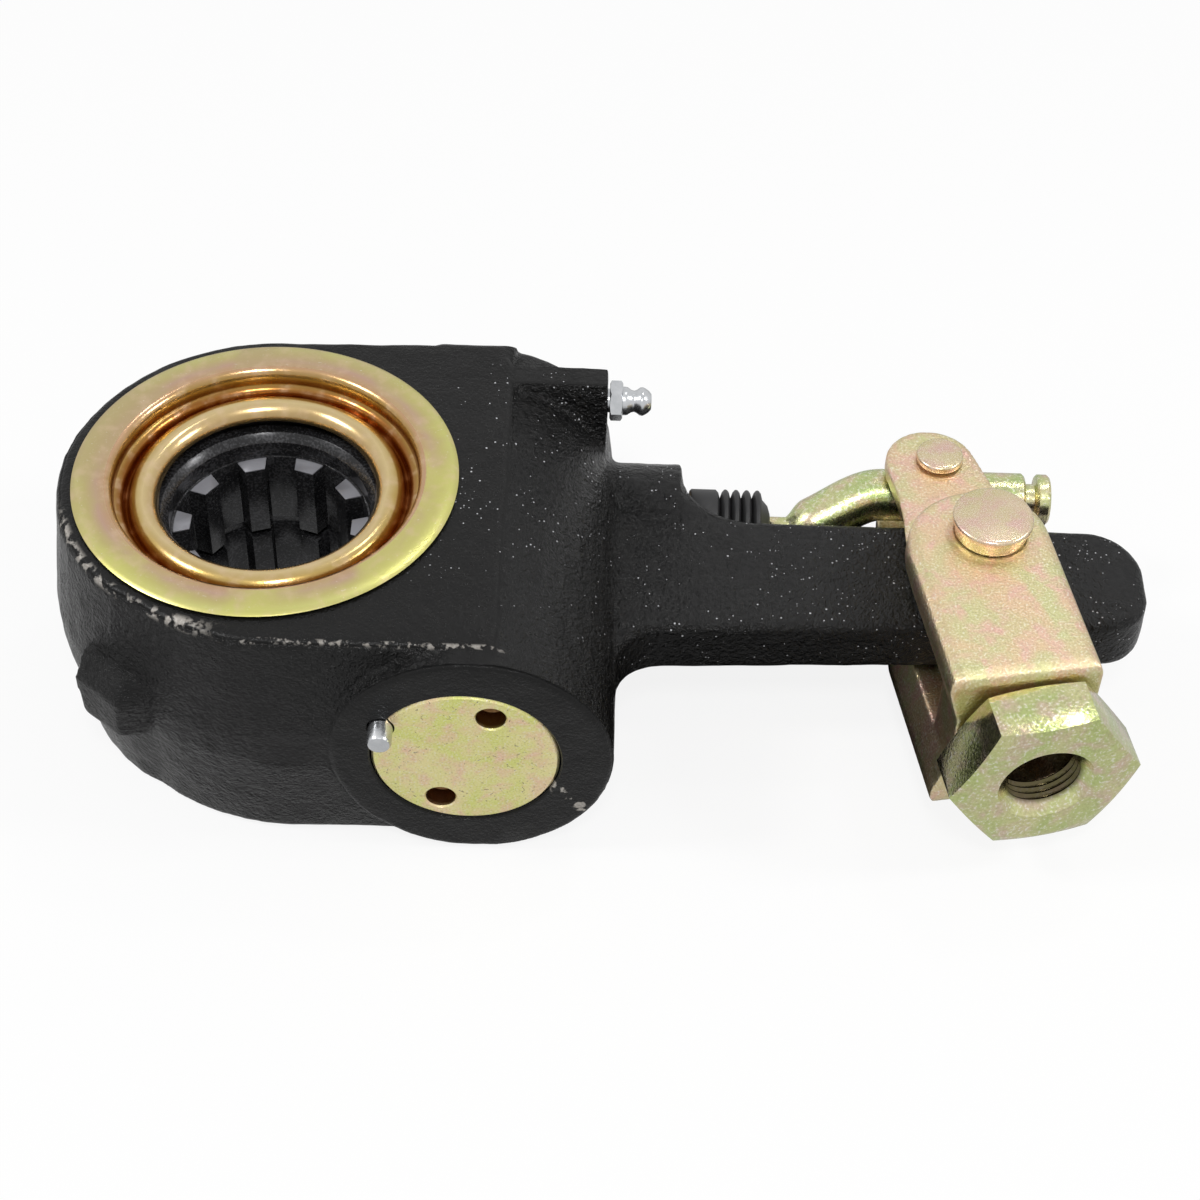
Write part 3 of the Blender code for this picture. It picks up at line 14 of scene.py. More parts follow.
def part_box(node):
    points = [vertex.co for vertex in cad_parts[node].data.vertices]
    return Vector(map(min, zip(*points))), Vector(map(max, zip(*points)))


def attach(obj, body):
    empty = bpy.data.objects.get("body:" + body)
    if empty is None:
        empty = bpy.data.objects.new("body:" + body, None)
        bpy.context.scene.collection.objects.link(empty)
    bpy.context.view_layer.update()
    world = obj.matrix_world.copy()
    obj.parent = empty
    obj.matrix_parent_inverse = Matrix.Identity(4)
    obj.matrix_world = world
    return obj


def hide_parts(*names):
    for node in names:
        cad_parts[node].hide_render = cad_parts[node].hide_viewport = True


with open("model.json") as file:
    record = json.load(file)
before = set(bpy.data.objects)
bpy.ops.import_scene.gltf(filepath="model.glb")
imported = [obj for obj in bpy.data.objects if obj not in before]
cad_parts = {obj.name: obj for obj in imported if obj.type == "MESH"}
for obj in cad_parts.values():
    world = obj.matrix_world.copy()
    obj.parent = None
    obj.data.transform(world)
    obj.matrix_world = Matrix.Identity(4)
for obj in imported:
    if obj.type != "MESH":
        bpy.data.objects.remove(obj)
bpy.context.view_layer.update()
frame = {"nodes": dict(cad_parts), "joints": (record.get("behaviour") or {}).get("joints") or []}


# Housing
#
# The lever's body is a sand casting in ductile iron. Its top, its boss face and its bores are machined, and then
# the whole casting is dipped in black paint, which chips along the rim and stays glossy over the casting's grain.

MM = 0.001
pivot = {joint["name"]: Vector(joint["pos_m"]) for joint in frame["joints"] if "pos_m" in joint}
ALONG_X = Matrix.Rotation(math.radians(90), 4, "Y")
ALONG_Y = Matrix.Rotation(math.radians(-90), 4, "X")


def pick(*pieces):
    """Leaves object mode with only these pieces selected, the first of them active."""
    if bpy.context.object and bpy.context.object.mode == "EDIT":
        bpy.ops.object.mode_set(mode="OBJECT")
    bpy.ops.object.select_all(action="DESELECT")
    for piece in pieces:
        piece.select_set(True)
    bpy.context.view_layer.objects.active = pieces[0] if pieces else None


def work(piece, kind, **settings):
    """Adds one modifier to a piece and applies it."""
    step = piece.modifiers.new(kind.lower(), kind)
    for key, value in settings.items():
        setattr(step, key, value)
    pick(piece)
    bpy.ops.object.modifier_apply(modifier=step.name)
    return piece


def settle(piece, matrix=None):
    """Takes a piece to its place and leaves its object at the origin."""
    if matrix:
        piece.matrix_world = matrix @ piece.matrix_world
    pick(piece)
    bpy.ops.object.transform_apply(location=True, rotation=True, scale=True)
    return piece


def lathe(name, profile, matrix=None, sides=96):
    """A turned piece about Z: a circle that is extruded and scaled from each point of radius and height to the next."""
    pick()
    radius, height = profile[0]
    bpy.ops.mesh.primitive_circle_add(vertices=sides, radius=radius, location=(0, 0, height), enter_editmode=True)
    for (near, low), (far, high) in zip(profile, profile[1:]):
        bpy.ops.mesh.extrude_region_move(TRANSFORM_OT_translate={"value": (0, 0, high - low)})
        bpy.ops.transform.resize(value=(far / near, far / near, 1), center_override=(0, 0, high))
    bpy.ops.mesh.select_all(action="SELECT")
    bpy.ops.mesh.remove_doubles(threshold=0.02 * MM)
    bpy.ops.mesh.normals_make_consistent(inside=False)
    piece = bpy.context.object
    piece.name = name
    return settle(piece, matrix)


AXIS = 0.002 * MM    # the radius of a lathe profile's ends, which are merged at the axis
GAP = 0.3 * MM       # between the casting's bores and what they hold


def copy_of(node, name):
    """A piece that starts from a CAD node's shape, with its loose triangles merged."""
    piece = bpy.data.objects.new(name, frame["nodes"][node].data.copy())
    bpy.context.collection.objects.link(piece)
    pick(piece)
    bpy.ops.object.mode_set(mode="EDIT")
    bpy.ops.mesh.select_all(action="SELECT")
    bpy.ops.mesh.remove_doubles(threshold=0.005 * MM)
    bpy.ops.object.mode_set(mode="OBJECT")
    piece.data.materials.clear()
    return piece


def machine(piece, tool, operation="DIFFERENCE", solver="MANIFOLD"):
    """Cuts or joins with a tool, and throws the tool away."""
    work(piece, "BOOLEAN", object=tool, operation=operation, solver=solver)
    bpy.data.objects.remove(tool)
    return piece


def block(name, low, high):
    """A box between two corners."""
    low, high = Vector(low), Vector(high)
    pick()
    bpy.ops.mesh.primitive_cube_add(size=1, location=(low + high) / 2)
    made = bpy.context.object
    made.name = name
    made.scale = high - low
    return settle(made)


def half_of(node, side="x"):
    """Half of a CAD node's size along one side of its box."""
    low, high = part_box(node)
    return (getattr(high, side) - getattr(low, side)) / 2


def dress(piece, finish, body, nodes=(), angle=32):
    """Gives a finished piece its shading, finish, slot and body, and hides the CAD nodes that it stands for."""
    pick(piece)
    bpy.ops.object.shade_smooth_by_angle(angle=math.radians(angle))
    piece.data.materials.clear()
    piece.data.materials.append(finish.material)
    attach(piece, body)
    if nodes:
        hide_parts(*nodes)
    return piece


class Signal:
    """A node's output that can be added, multiplied and compared. Each operator adds one Math node."""

    def __init__(self, tree, socket):
        self.tree = tree
        self.socket = socket

    def maths(self, operation, *values):
        made = self.tree.nodes.new("ShaderNodeMath")
        made.operation = operation
        for slot, value in zip(made.inputs, values):
            if isinstance(value, Signal):
                self.tree.links.new(value.socket, slot)
            else:
                slot.default_value = value
        return Signal(self.tree, made.outputs[0])

    def __add__(self, other):
        return self.maths("ADD", self, other)

    def __sub__(self, other):
        return self.maths("SUBTRACT", self, other)

    def __rsub__(self, other):
        return self.maths("SUBTRACT", other, self)

    def __mul__(self, other):
        return self.maths("MULTIPLY", self, other)

    def __pow__(self, other):
        return self.maths("POWER", self, other)

    def __abs__(self):
        return self.maths("ABSOLUTE", self)

    __radd__ = __add__
    __rmul__ = __mul__


class Finish:
    """A material in the making: its shader's plain values first, then what varies over the surface."""

    def __init__(self, name, centre=(0, 0, 0), **values):
        self.material = bpy.data.materials.new(name)
        self.material.use_nodes = True
        self.tree = self.material.node_tree
        self.shader = self.tree.nodes["Principled BSDF"]
        for key, value in values.items():
            self.shader.inputs[key.replace("_", " ")].default_value = value
        spot = self.node("TexCoord", output="Object")
        self.spot = self.node("VectorMath", {0: spot, 1: centre}, operation="SUBTRACT")
        parts = self.tree.nodes.new("ShaderNodeSeparateXYZ")
        self.tree.links.new(self.spot.socket, parts.inputs[0])
        self.x, self.y, self.z = (Signal(self.tree, socket) for socket in parts.outputs)

    def node(self, kind, sockets=None, output=0, stops=None, **settings):
        made = self.tree.nodes.new("ShaderNode" + kind)
        for key, value in settings.items():
            setattr(made, key, value)
        for index, (place, colour) in enumerate(stops or []):
            ramp = made.color_ramp.elements
            stop = ramp[index] if index < 2 else ramp.new(place)
            stop.position = place
            stop.color = (*colour, 1)
        for key, value in (sockets or {}).items():
            if isinstance(value, Signal):
                self.tree.links.new(value.socket, made.inputs[key])
            else:
                made.inputs[key].default_value = value
        return Signal(self.tree, made.outputs[output])

    def noise(self, size, detail=2.0, vector=None, distortion=0.0):
        """Cloudy values whose lumps are about size across."""
        sockets = {"Vector": vector or self.spot, "Scale": 1 / size, "Detail": detail, "Distortion": distortion}
        return self.node("TexNoise", sockets, output="Fac")

    def step(self, value, low, high):
        """0 below low, 1 above high, and smooth between them."""
        sockets = {"Value": value, 1: low, 2: high, 3: 0.0, 4: 1.0}
        return self.node("MapRange", sockets, interpolation_type="SMOOTHSTEP")

    def blend(self, factor, first, second):
        sockets = {0: factor, 6: first if isinstance(first, Signal) else (*first, 1)}
        sockets[7] = second if isinstance(second, Signal) else (*second, 1)
        return self.node("Mix", sockets, output=2, data_type="RGBA")

    def line(self, value, middle, core, edge):
        """1 where the value is within core of middle, 0 beyond edge from it."""
        return 1 - self.step(abs(value - middle), core, edge)

    def reach(self, across, along):
        """The distance from the centre in the plane of two of the finish's coordinates."""
        return (across * across + along * along) ** 0.5

    def turn(self, across, along):
        """The angle round the centre, in radians."""
        return across.maths("ARCTAN2", along, across)

    def feed(self, socket, signal):
        self.tree.links.new(signal.socket, self.shader.inputs[socket])

    def tint(self, mask, colour):
        """Lays one more colour over the base colour, where the mask is 1."""
        under = Signal(self.tree, self.shader.inputs["Base Color"].links[0].from_socket)
        self.feed("Base Color", self.blend(mask, under, colour))

    def relief(self, height, depth, strength=1.0):
        bump = self.node("Bump", {"Height": height, "Distance": depth, "Strength": strength})
        self.feed("Normal", bump)


def cast_paint():
    """Black dip paint: glossy over the casting's grain, flatter on the machined faces.

    It is chipped along the head's rim and the plug's boss. Painted highlights run as broken pale lines along the arm's
    near edge and the near wall's edge, and fine white specks of painted sparkle lie on it ahead of the wheel and on the
    arm.
    """
    wheel = pivot["wheel_spin"]
    low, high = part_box("housing")
    finish = Finish("black_cast_paint", centre=(wheel.x, wheel.y, 0), Metallic=0.0, IOR=1.32)
    top = finish.step(finish.z, high.z - 0.9 * MM, high.z - 0.4 * MM)
    face_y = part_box("end_plug")[0].y - wheel.y
    face = 1 - finish.step(finish.y, face_y + 0.2 * MM, face_y + 0.7 * MM)
    milled = top.maths("MAXIMUM", top, face)
    grain = finish.noise(1.0 * MM, 3.0, distortion=0.6)
    pits = finish.noise(0.42 * MM, 2.0)
    lumps = finish.noise(4.5 * MM, 2.0)
    wall = grain * 0.9 + pits * 0.35 + lumps * 0.6
    skin = pits * 0.14 + finish.noise(0.8 * MM, 2.0) * 0.15 + lumps * 0.2
    finish.relief(wall + (skin - wall) * milled, 1.0 * MM, 0.95)

    ring = finish.reach(finish.x, finish.y)
    head = wheel.x - low.x - 2.9 * MM
    round_rim = finish.turn(finish.x, finish.y)
    edge = finish.step(ring, head - 2.2 * MM, head - 0.6 * MM)
    edge = edge * finish.step(finish.z, high.z - 1.9 * MM, high.z - 0.4 * MM)
    arc = finish.step(round_rim, -2.95, -2.75) * (1 - finish.step(round_rim, -1.95, -1.6))
    broken = finish.step(finish.noise(2.2 * MM, 4.0), 0.49, 0.57)
    rim_chips = edge * arc * broken * (1 - finish.step(finish.x, -8 * MM, 0.0))

    worm = pivot["worm_spin"] - wheel
    boss = finish.reach(finish.x - worm.x, finish.z - worm.z)
    boss_r = high.z / 2 - 0.3 * MM
    boss_edge = finish.step(boss, boss_r - 2.6 * MM, boss_r - 1.4 * MM)
    boss_edge = boss_edge * (1 - finish.step(boss, boss_r + 0.2 * MM, boss_r + 0.8 * MM))
    boss_edge = boss_edge * (1 - finish.step(finish.y, face_y + 0.8 * MM, face_y + 1.4 * MM))
    boss_side = finish.step(finish.x - worm.x, 6 * MM, 12 * MM)
    knocks = finish.step(finish.noise(3.4 * MM, 4.0), 0.56, 0.61) * boss_side

    # Painted highlights: broken pale lines along the arm's near top edge and the near wall's top edge stand in for the
    # lamps' glints there.
    arm_top = pivot["clevis_swing"].z + 6.2 * MM
    arm_near = -16.8 * MM
    arm_edge_highlight = finish.line(finish.y, arm_near, 0.2 * MM, 0.9 * MM)
    arm_edge_highlight = arm_edge_highlight * finish.step(finish.z, arm_top - 1.0 * MM, arm_top - 0.3 * MM)
    arm_edge_highlight = arm_edge_highlight * finish.step(finish.x, 80 * MM, 88 * MM) * finish.step(finish.noise(0.9 * MM, 3.0), 0.46, 0.56)
    wall_near = -41.6 * MM
    wall_edge_highlight = finish.line(finish.y, wall_near, 0.15 * MM, 0.7 * MM)
    wall_edge_highlight = wall_edge_highlight * finish.step(finish.z, high.z - 1.6 * MM, high.z - 0.6 * MM)
    wall_edge_highlight = wall_edge_highlight * finish.step(finish.noise(1.4 * MM, 3.0), 0.5, 0.6)
    # The chips on the rim and boss, joined with the painted highlight lines on the arm's and the wall's edges.
    chips_and_edge_highlights = rim_chips + boss_edge * knocks * 0.7 + arm_edge_highlight * 0.55 + wall_edge_highlight * 0.6
    chips_and_edge_highlights = chips_and_edge_highlights.maths("MINIMUM", chips_and_edge_highlights, 1.0)

    # Painted sparkle: white specks ahead of the wheel and on the arm stand in for the lamps' glints on the glossy
    # paint's bumps.
    sparkle_spacing = 0.8 * MM
    near = finish.node("TexVoronoi", {"Vector": finish.spot, "Scale": 1 / sparkle_spacing}, output="Distance")
    cell = Signal(finish.tree, near.socket.node.outputs["Color"])
    chance = finish.node("SeparateColor", {0: cell})
    patch = finish.step(finish.noise(9 * MM, 4.0), 0.48, 0.68)
    ahead = finish.step(finish.x, 26 * MM, 40 * MM) * finish.step(finish.z, 20 * MM, 30 * MM)
    ahead = ahead * finish.step(finish.y, -34 * MM, -26 * MM) * (1 - finish.step(finish.y, 30 * MM, 36 * MM))
    scatter = chance * 13.0
    size = scatter.maths("FRACT", scatter) * 0.24 + 0.05
    on_arm = finish.step(finish.x, 88 * MM, 98 * MM)
    shown = finish.step(chance + patch * 0.5 + on_arm * 0.16, 0.93, 0.95)
    painted_sparkle_dots = (1 - finish.step(near, size * 0.6, size)) * shown * ahead

    black = finish.blend(lumps, (0.004, 0.004, 0.0042), (0.008, 0.0078, 0.0075))
    # One pale colour serves the chips' bare iron and the painted highlight lines along the edges.
    bare_iron_and_highlight = finish.blend(pits, (0.22, 0.18, 0.14), (0.90, 0.87, 0.82))
    colour = finish.blend(chips_and_edge_highlights, black, bare_iron_and_highlight)
    # Painted sparkle: the specks lighten the black to a pale grey white.
    colour = finish.blend(painted_sparkle_dots * 0.9, colour, (0.72, 0.73, 0.76))
    finish.feed("Base Color", colour)
    finish.feed("Roughness", 0.10 + grain * 0.12 + milled * 0.10 + chips_and_edge_highlights * 0.4)
    return finish


def bore_tool():
    """The cover's seat, the wheel's chamber and the floor's bore, cut in one setting."""
    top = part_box("side_cover")[1].z
    seat = half_of("side_cover") + GAP
    mouth = seat + 0.5 * MM
    chamber = half_of("wheel_bushing") + GAP
    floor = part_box("lower_thrust_ring")[0].z - 0.4 * MM
    ledge = top - 1.5 * MM
    bore = 24.35 * MM
    flare = bore + 1.2 * MM
    profile = [(AXIS, top + 2 * MM), (mouth, top + 2 * MM), (mouth, top + 0.2 * MM), (seat, top - GAP), (seat, ledge),
               (chamber, ledge), (chamber, floor), (bore, floor), (bore, 0.6 * MM), (flare, -0.6 * MM),
               (flare, -2 * MM), (AXIS, -2 * MM)]
    place = Matrix.Translation((pivot["wheel_spin"].x, pivot["wheel_spin"].y, 0))
    return lathe("bore_tool", profile, place, 160)


def round_tool(name, radius, start, end, axis, along, sides=64, chamfer=0.25):
    """A round cutter along an axis, from start to end, that breaks the edge at its start."""
    edge = chamfer * MM
    toward = 1 if end > start else -1
    profile = [(AXIS, start - toward * 2 * MM), (radius + edge, start - toward * 2 * MM), (radius + edge, start),
               (radius, start + toward * edge), (radius, end), (AXIS, end)]
    return lathe(name, profile, Matrix.Translation(axis) @ along, sides)


casting = copy_of("housing", "lever_casting")
low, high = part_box("housing")
wheel = pivot["wheel_spin"]
worm = pivot["worm_spin"]
clevis = pivot["clevis_swing"]
slide_axis = pivot["link_tilt"]
plug_low, plug_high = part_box("end_plug")
ball_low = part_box("fitting_ball")[0]
face_y = plug_low.y - GAP
rear_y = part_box("shaft_seal")[1].y + GAP
link_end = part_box("boot")[0].x - 1.8 * MM
link_at = Vector((worm.x, slide_axis.y, slide_axis.z))
lug_at = Vector((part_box("grease_fitting")[0].x + 7 * MM, ball_low.y + 0.6 * MM, ball_low.z + 0.6 * MM))
arm_half = half_of("arm_bushing", "z")


def fill(name, radius, start, end, place, sides):
    """A plain round core that fills a bore of the CAD's casting, so that the remesh closes it."""
    return lathe("fill_" + name, [(AXIS, start), (radius, start), (radius, end), (AXIS, end)], place, sides)


fills = [
    fill("head", 38.2 * MM, 0, high.z, Matrix.Translation((wheel.x, wheel.y, 0)), 96),
    fill("boss", 22 * MM, face_y - worm.y, rear_y - worm.y, Matrix.Translation(worm) @ ALONG_Y, 96),
    fill("link", 10 * MM, 0, link_end - worm.x, Matrix.Translation(link_at) @ ALONG_X, 64),
    fill("arm", 9.5 * MM, -arm_half, arm_half, Matrix.Translation(clevis), 64),
    fill("fitting", 3.5 * MM, -9 * MM, -0.05 * MM, Matrix.Translation(lug_at) @ ALONG_X, 32),
]
pick(casting, *fills)
bpy.ops.object.join()
work(casting, "REMESH", mode="VOXEL", voxel_size=0.62 * MM)
work(casting, "SMOOTH", factor=0.5, iterations=4)
unevenness = bpy.data.textures.new("unevenness", "CLOUDS")
unevenness.noise_scale = 0.007
unevenness.noise_depth = 2
work(casting, "DISPLACE", texture=unevenness, texture_coords="LOCAL", strength=0.35 * MM, mid_level=0.75)
work(casting, "SMOOTH", factor=0.5, iterations=1)
skim = 0.12 * MM
clear = 20 * MM
machine(casting, block("top_skim", (low.x - MM, low.y - clear, high.z - skim),
                       (high.x, high.y + clear, high.z + 5 * MM)))
machine(casting, block("base_skim", (low.x - MM, low.y - clear, -5 * MM), (high.x, high.y + clear, skim / 2)))
machine(casting, block("face_skim", (low.x, face_y - clear, 0), (high.x, face_y + skim, high.z)))
machine(casting, bore_tool())

plug_r = half_of("end_plug")
plug_back = plug_high.y - worm.y
machine(casting, round_tool("plug_bore", plug_r + GAP, face_y - worm.y, plug_back + GAP, worm, ALONG_Y, 96, 0.4))
machine(casting, round_tool("worm_bore", 13.4 * MM, plug_back - MM, 31.0 * MM, worm, ALONG_Y))
machine(casting, round_tool("rear_bore", half_of("rear_bush") + GAP, rear_y - worm.y, 0.0, worm, ALONG_Y))
machine(casting, round_tool("plunger_bore", half_of("rack_plunger", "y") + GAP, link_end - worm.x, -17 * MM,
                            link_at, ALONG_X))
pin_low, pin_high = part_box("lock_pin")
pin_axis = (pin_low + pin_high) / 2
pin_r = half_of("lock_pin")
pin_end = pin_low.y - pin_axis.y
pin_tail = pin_high.y - pin_axis.y
machine(casting, round_tool("pin_bore", pin_r + GAP, face_y - pin_axis.y, pin_tail + MM, pin_axis, ALONG_Y, 32))
machine(casting, round_tool("arm_bore", half_of("arm_bushing") + GAP, arm_half + 0.1 * MM, -12 * MM,
                            clevis, Matrix(), 64, 0.3))
dress(casting, cast_paint(), "housing", ["housing"], 40)


# Worm wheel
#
# A steel gear whose hub carries the splined bore for the brake's camshaft. It is blackened all over; a painted
# highlight lightens its machined tooth ends down in the bore.

def black_oxide():
    finish = Finish("black_oxide", centre=pivot["wheel_spin"], Metallic=0.35, IOR=1.5)
    marks = finish.noise(0.5 * MM, 3.0)
    clouds = finish.noise(6 * MM, 2.0)
    reach = finish.reach(finish.x, finish.y)
    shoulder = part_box("worm_wheel")[1].z - pivot["wheel_spin"].z - 5.1 * MM
    # Painted highlight: a pale grey line on the spline teeth's ends at the shoulder, down in the bore.
    ends = finish.line(finish.z, shoulder, 0.05 * MM, 0.35 * MM) * (1 - finish.step(reach, 18.7 * MM, 19.0 * MM))
    rubbed = finish.step(marks + clouds * 0.4, 0.66, 0.85)
    dark = finish.blend(clouds, (0.010, 0.010, 0.011), (0.030, 0.030, 0.032))
    colour = finish.blend(rubbed * 0.16, dark, (0.30, 0.30, 0.32))
    colour = finish.blend(ends * 0.8, colour, (0.33, 0.33, 0.36))
    finish.feed("Base Color", colour)
    finish.feed("Roughness", 0.18 + marks * 0.12 + ends * 0.14)
    finish.relief(marks, 0.04 * MM, 0.4)
    return finish


gear = copy_of("worm_wheel", "splined_worm_wheel")
work(gear, "BEVEL", width=0.28 * MM, segments=2, limit_method="ANGLE", angle_limit=math.radians(40))
dress(gear, black_oxide(), "wheel", ["worm_wheel"], 30)


# Side cover
#
# A ring pressed from thin sheet that closes the wheel's chamber: a flat flange, a deep channel and a rolled lip
# round the hub. Its yellow chromate runs from olive to rose on the flat; painted shade darkens it to amber in the
# channel, and a painted highlight pales it on the inner ridge.

def chromate(name, centre, film, grain=0.35, gloss=0.24, depth=0.05, strength=0.5, worn=0.0):
    """Yellow chromate over zinc: a film that drifts softly between three colours, with a fine grain whose pale flecks
    are painted sparkle.
    """
    finish = Finish(name, centre=centre, Metallic=1.0)
    drift = finish.noise(11 * MM, 4.0, distortion=0.8)
    clouds = finish.noise(4 * MM, 5.0, distortion=0.4)
    fine = finish.noise(grain * MM, 3.0)
    first, second, third = film
    colour = finish.blend(finish.step(drift, 0.34, 0.66), first, second)
    colour = finish.blend(finish.step(clouds, 0.42, 0.74), colour, third)
    # Painted sparkle: near-white flecks where the fine grain is high.
    colour = finish.blend(finish.step(fine, 0.53, 0.68) * 0.6, colour, (1.0, 0.97, 0.86))
    colour = finish.blend((1 - finish.step(fine, 0.30, 0.50)) * 0.28, colour, tuple(0.42 * part for part in second))
    scuffs = finish.step(finish.noise(1.3 * MM, 5.0, distortion=2.0), 0.64, 0.71) * worn
    colour = finish.blend(scuffs, colour, (0.34, 0.27, 0.18))
    finish.feed("Base Color", colour)
    finish.feed("Roughness", gloss + fine * 0.14 + scuffs * 0.2)
    finish.relief(fine + clouds * 0.25, depth * MM, strength)
    return finish


def cover_finish(centre):
    """The pressed ring's film: olive and rose on the flat, with rubbed spots; a ramp across the radius paints shade
    brown amber down in the channel and a pale painted highlight on the inner ridge.
    """
    finish = Finish("pressed_chromate", centre=centre, Metallic=1.0)
    reach = finish.reach(finish.x, finish.y)
    drift = finish.noise(16 * MM, 3.0, distortion=0.8)
    mottle = finish.noise(3 * MM, 4.0)
    fine = finish.noise(0.35 * MM, 2.0)
    inner, width = 20 * MM, 17 * MM
    # Painted light across the radius: over the film's own olive and amber, the ramp darkens to brown in the channel as
    # painted shade and pales to gold on the inner ridge as a painted highlight.
    film_shade_and_highlight_ramp = finish.node("ValToRGB", {0: (reach + (drift - 0.5) * (2 * MM) - inner) * (1 / width)}, stops=[
        (0.0, (0.42, 0.30, 0.13)), (1.0, (0.50, 0.44, 0.18)), (0.08, (0.54, 0.38, 0.18)), (0.20, (0.74, 0.58, 0.30)),
        (0.30, (0.54, 0.38, 0.13)), (0.38, (0.36, 0.16, 0.04)), (0.46, (0.30, 0.12, 0.03)), (0.54, (0.44, 0.28, 0.09)),
        (0.60, (0.60, 0.38, 0.22)), (0.70, (0.60, 0.40, 0.30)), (0.82, (0.60, 0.52, 0.22)), (0.92, (0.66, 0.64, 0.24))])
    side = finish.step(finish.x * 0.6 - finish.y * 0.8 + (drift - 0.5) * 0.04, -0.022, 0.012)
    flat = finish.step(reach, 30.3 * MM, 30.8 * MM)
    olive = finish.blend(side, (0.56, 0.44, 0.24), (0.68, 0.66, 0.21))
    colour = finish.blend(flat * finish.step(drift, 0.30, 0.62) * 0.8, film_shade_and_highlight_ramp, olive)
    colour = finish.blend(finish.step(mottle, 0.45, 0.75) * 0.35, colour, (0.84, 0.62, 0.44))
    scratches = finish.step(finish.noise(1.0 * MM, 5.0, distortion=3.0), 0.66, 0.72) * flat
    colour = finish.blend(scratches * 0.6, colour, (0.95, 0.92, 0.80))
    finish.feed("Base Color", colour)
    finish.feed("Roughness", 0.18 + flat * 0.08 + fine * 0.1)
    finish.relief(fine + mottle * 0.6, 0.03 * MM, 0.5)
    return finish


def soft_line(points, per=4):
    """Points along a smooth curve through the given ones."""
    ends = [points[0]] + points + [points[-1]]
    line = []
    for before, start, stop, after in zip(ends, ends[1:], ends[2:], ends[3:]):
        for step in range(per):
            t = step / per
            line.append(tuple(
                0.5 * (2 * b + (c - a) * t + (2 * a - 5 * b + 4 * c - d) * t * t + (3 * b - a - 3 * c + d) * t**3)
                for a, b, c, d in zip(before, start, stop, after)
            ))
    return line + [points[-1]]


def sheet_profile(line, thickness):
    """A closed profile of a sheet that lies on the line, which runs inwards: the line is its lower side."""
    far_side = []
    for index, point in enumerate(line):
        before = Vector(line[max(index - 1, 0)])
        after = Vector(line[min(index + 1, len(line) - 1)])
        along = (after - before).normalized()
        far_side.append((point[0] + along.y * thickness, point[1] - along.x * thickness))
    return line + far_side[::-1] + [line[0]]


cover_r = half_of("side_cover")
cover_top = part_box("side_cover")[1].z
crest = [(29.9, -2.9), (29.45, -3.35), (28.85, -3.55), (28.4, -4.0), (28.15, -4.9), (27.6, -5.7), (26.85, -6.0),
         (26.15, -5.5), (25.6, -4.45), (24.95, -3.55), (24.1, -3.1), (23.2, -3.15), (22.45, -3.65), (21.95, -4.35),
         (21.7, -5.1)]
pressed = [(cover_r - 0.02 * MM, -0.25 * MM), (cover_r - 0.25 * MM, -0.02 * MM), (30.75 * MM, -0.02 * MM)]
pressed += [(30.42 * MM, -0.12 * MM), (30.22 * MM, -0.45 * MM), (30.05 * MM, -1.6 * MM)]
pressed += soft_line([(r * MM, z * MM) for r, z in crest], 3)
cover = lathe("pressed_side_cover", sheet_profile(pressed, 1.0 * MM),
              Matrix.Translation((wheel.x, wheel.y, cover_top)), 160)
dress(cover, cover_finish((wheel.x, wheel.y, cover_top)), "housing", ["side_cover"], 50)


# End plug and lock pin
#
# The plug closes the worm's bore and carries its front bearing. Two blind holes take a pin spanner. A soft steel
# pin, driven half into the plug and half into the casting, stops it turning.

plug_front = plug_low.y - worm.y
before = plug_front - 2 * MM
edge = 0.5 * MM
profile = [(AXIS, plug_front), (plug_r - edge - 0.3 * MM, plug_front), (plug_r - edge, plug_front + 0.05 * MM),
           (plug_r, plug_front + edge), (plug_r, plug_back), (AXIS, plug_back)]
plug = lathe("spanner_plug", profile, Matrix.Translation(worm) @ ALONG_Y, 128)
hole_r = 2.85 * MM
hole_reach = 12.6 * MM
for side in (0, 1):
    turn = math.radians(67.5) + side * math.pi
    hole = Vector((hole_reach * math.cos(turn), 0, hole_reach * math.sin(turn)))
    profile = [(AXIS, before), (hole_r + 0.3 * MM, before), (hole_r + 0.3 * MM, plug_front),
               (hole_r, plug_front + 0.3 * MM), (hole_r, plug_front + 4.2 * MM), (AXIS, plug_front + 5.6 * MM)]
    machine(plug, lathe("spanner_hole", profile, Matrix.Translation(worm + hole) @ ALONG_Y, 48))
notch = [(AXIS, before), (pin_r + GAP, before), (pin_r + GAP, plug_back + MM), (AXIS, plug_back + MM)]
machine(plug, lathe("pin_notch", notch, Matrix.Translation((pin_axis.x, worm.y, pin_axis.z)) @ ALONG_Y, 32))
plug_film = (0.84, 0.86, 0.28), (0.98, 0.88, 0.44), (0.98, 0.70, 0.48)
plug_finish = chromate("plug_chromate", (worm.x, plug_low.y, worm.z), plug_film,
                       grain=0.45, gloss=0.28, depth=0.10, strength=0.8, worn=0.9)
# Painted shade: the plug darkens to brown from a quarter millimetre behind its front face, down its spanner holes and
# pin notch.
plug_finish.tint(plug_finish.step(plug_finish.y, 0.25 * MM, 1.2 * MM) * 0.9, (0.20, 0.08, 0.03))
dress(plug, plug_finish, "housing", ["end_plug"])

profile = [(AXIS, pin_end), (pin_r - 0.9 * MM, pin_end + 0.05 * MM), (pin_r - 0.3 * MM, pin_end + 0.35 * MM),
           (pin_r, pin_end + 0.9 * MM), (pin_r, pin_tail - 0.4 * MM), (pin_r - 0.4 * MM, pin_tail), (AXIS, pin_tail)]
lock_pin = lathe("plug_lock_pin", profile, Matrix.Translation(pin_axis) @ ALONG_Y, 48)


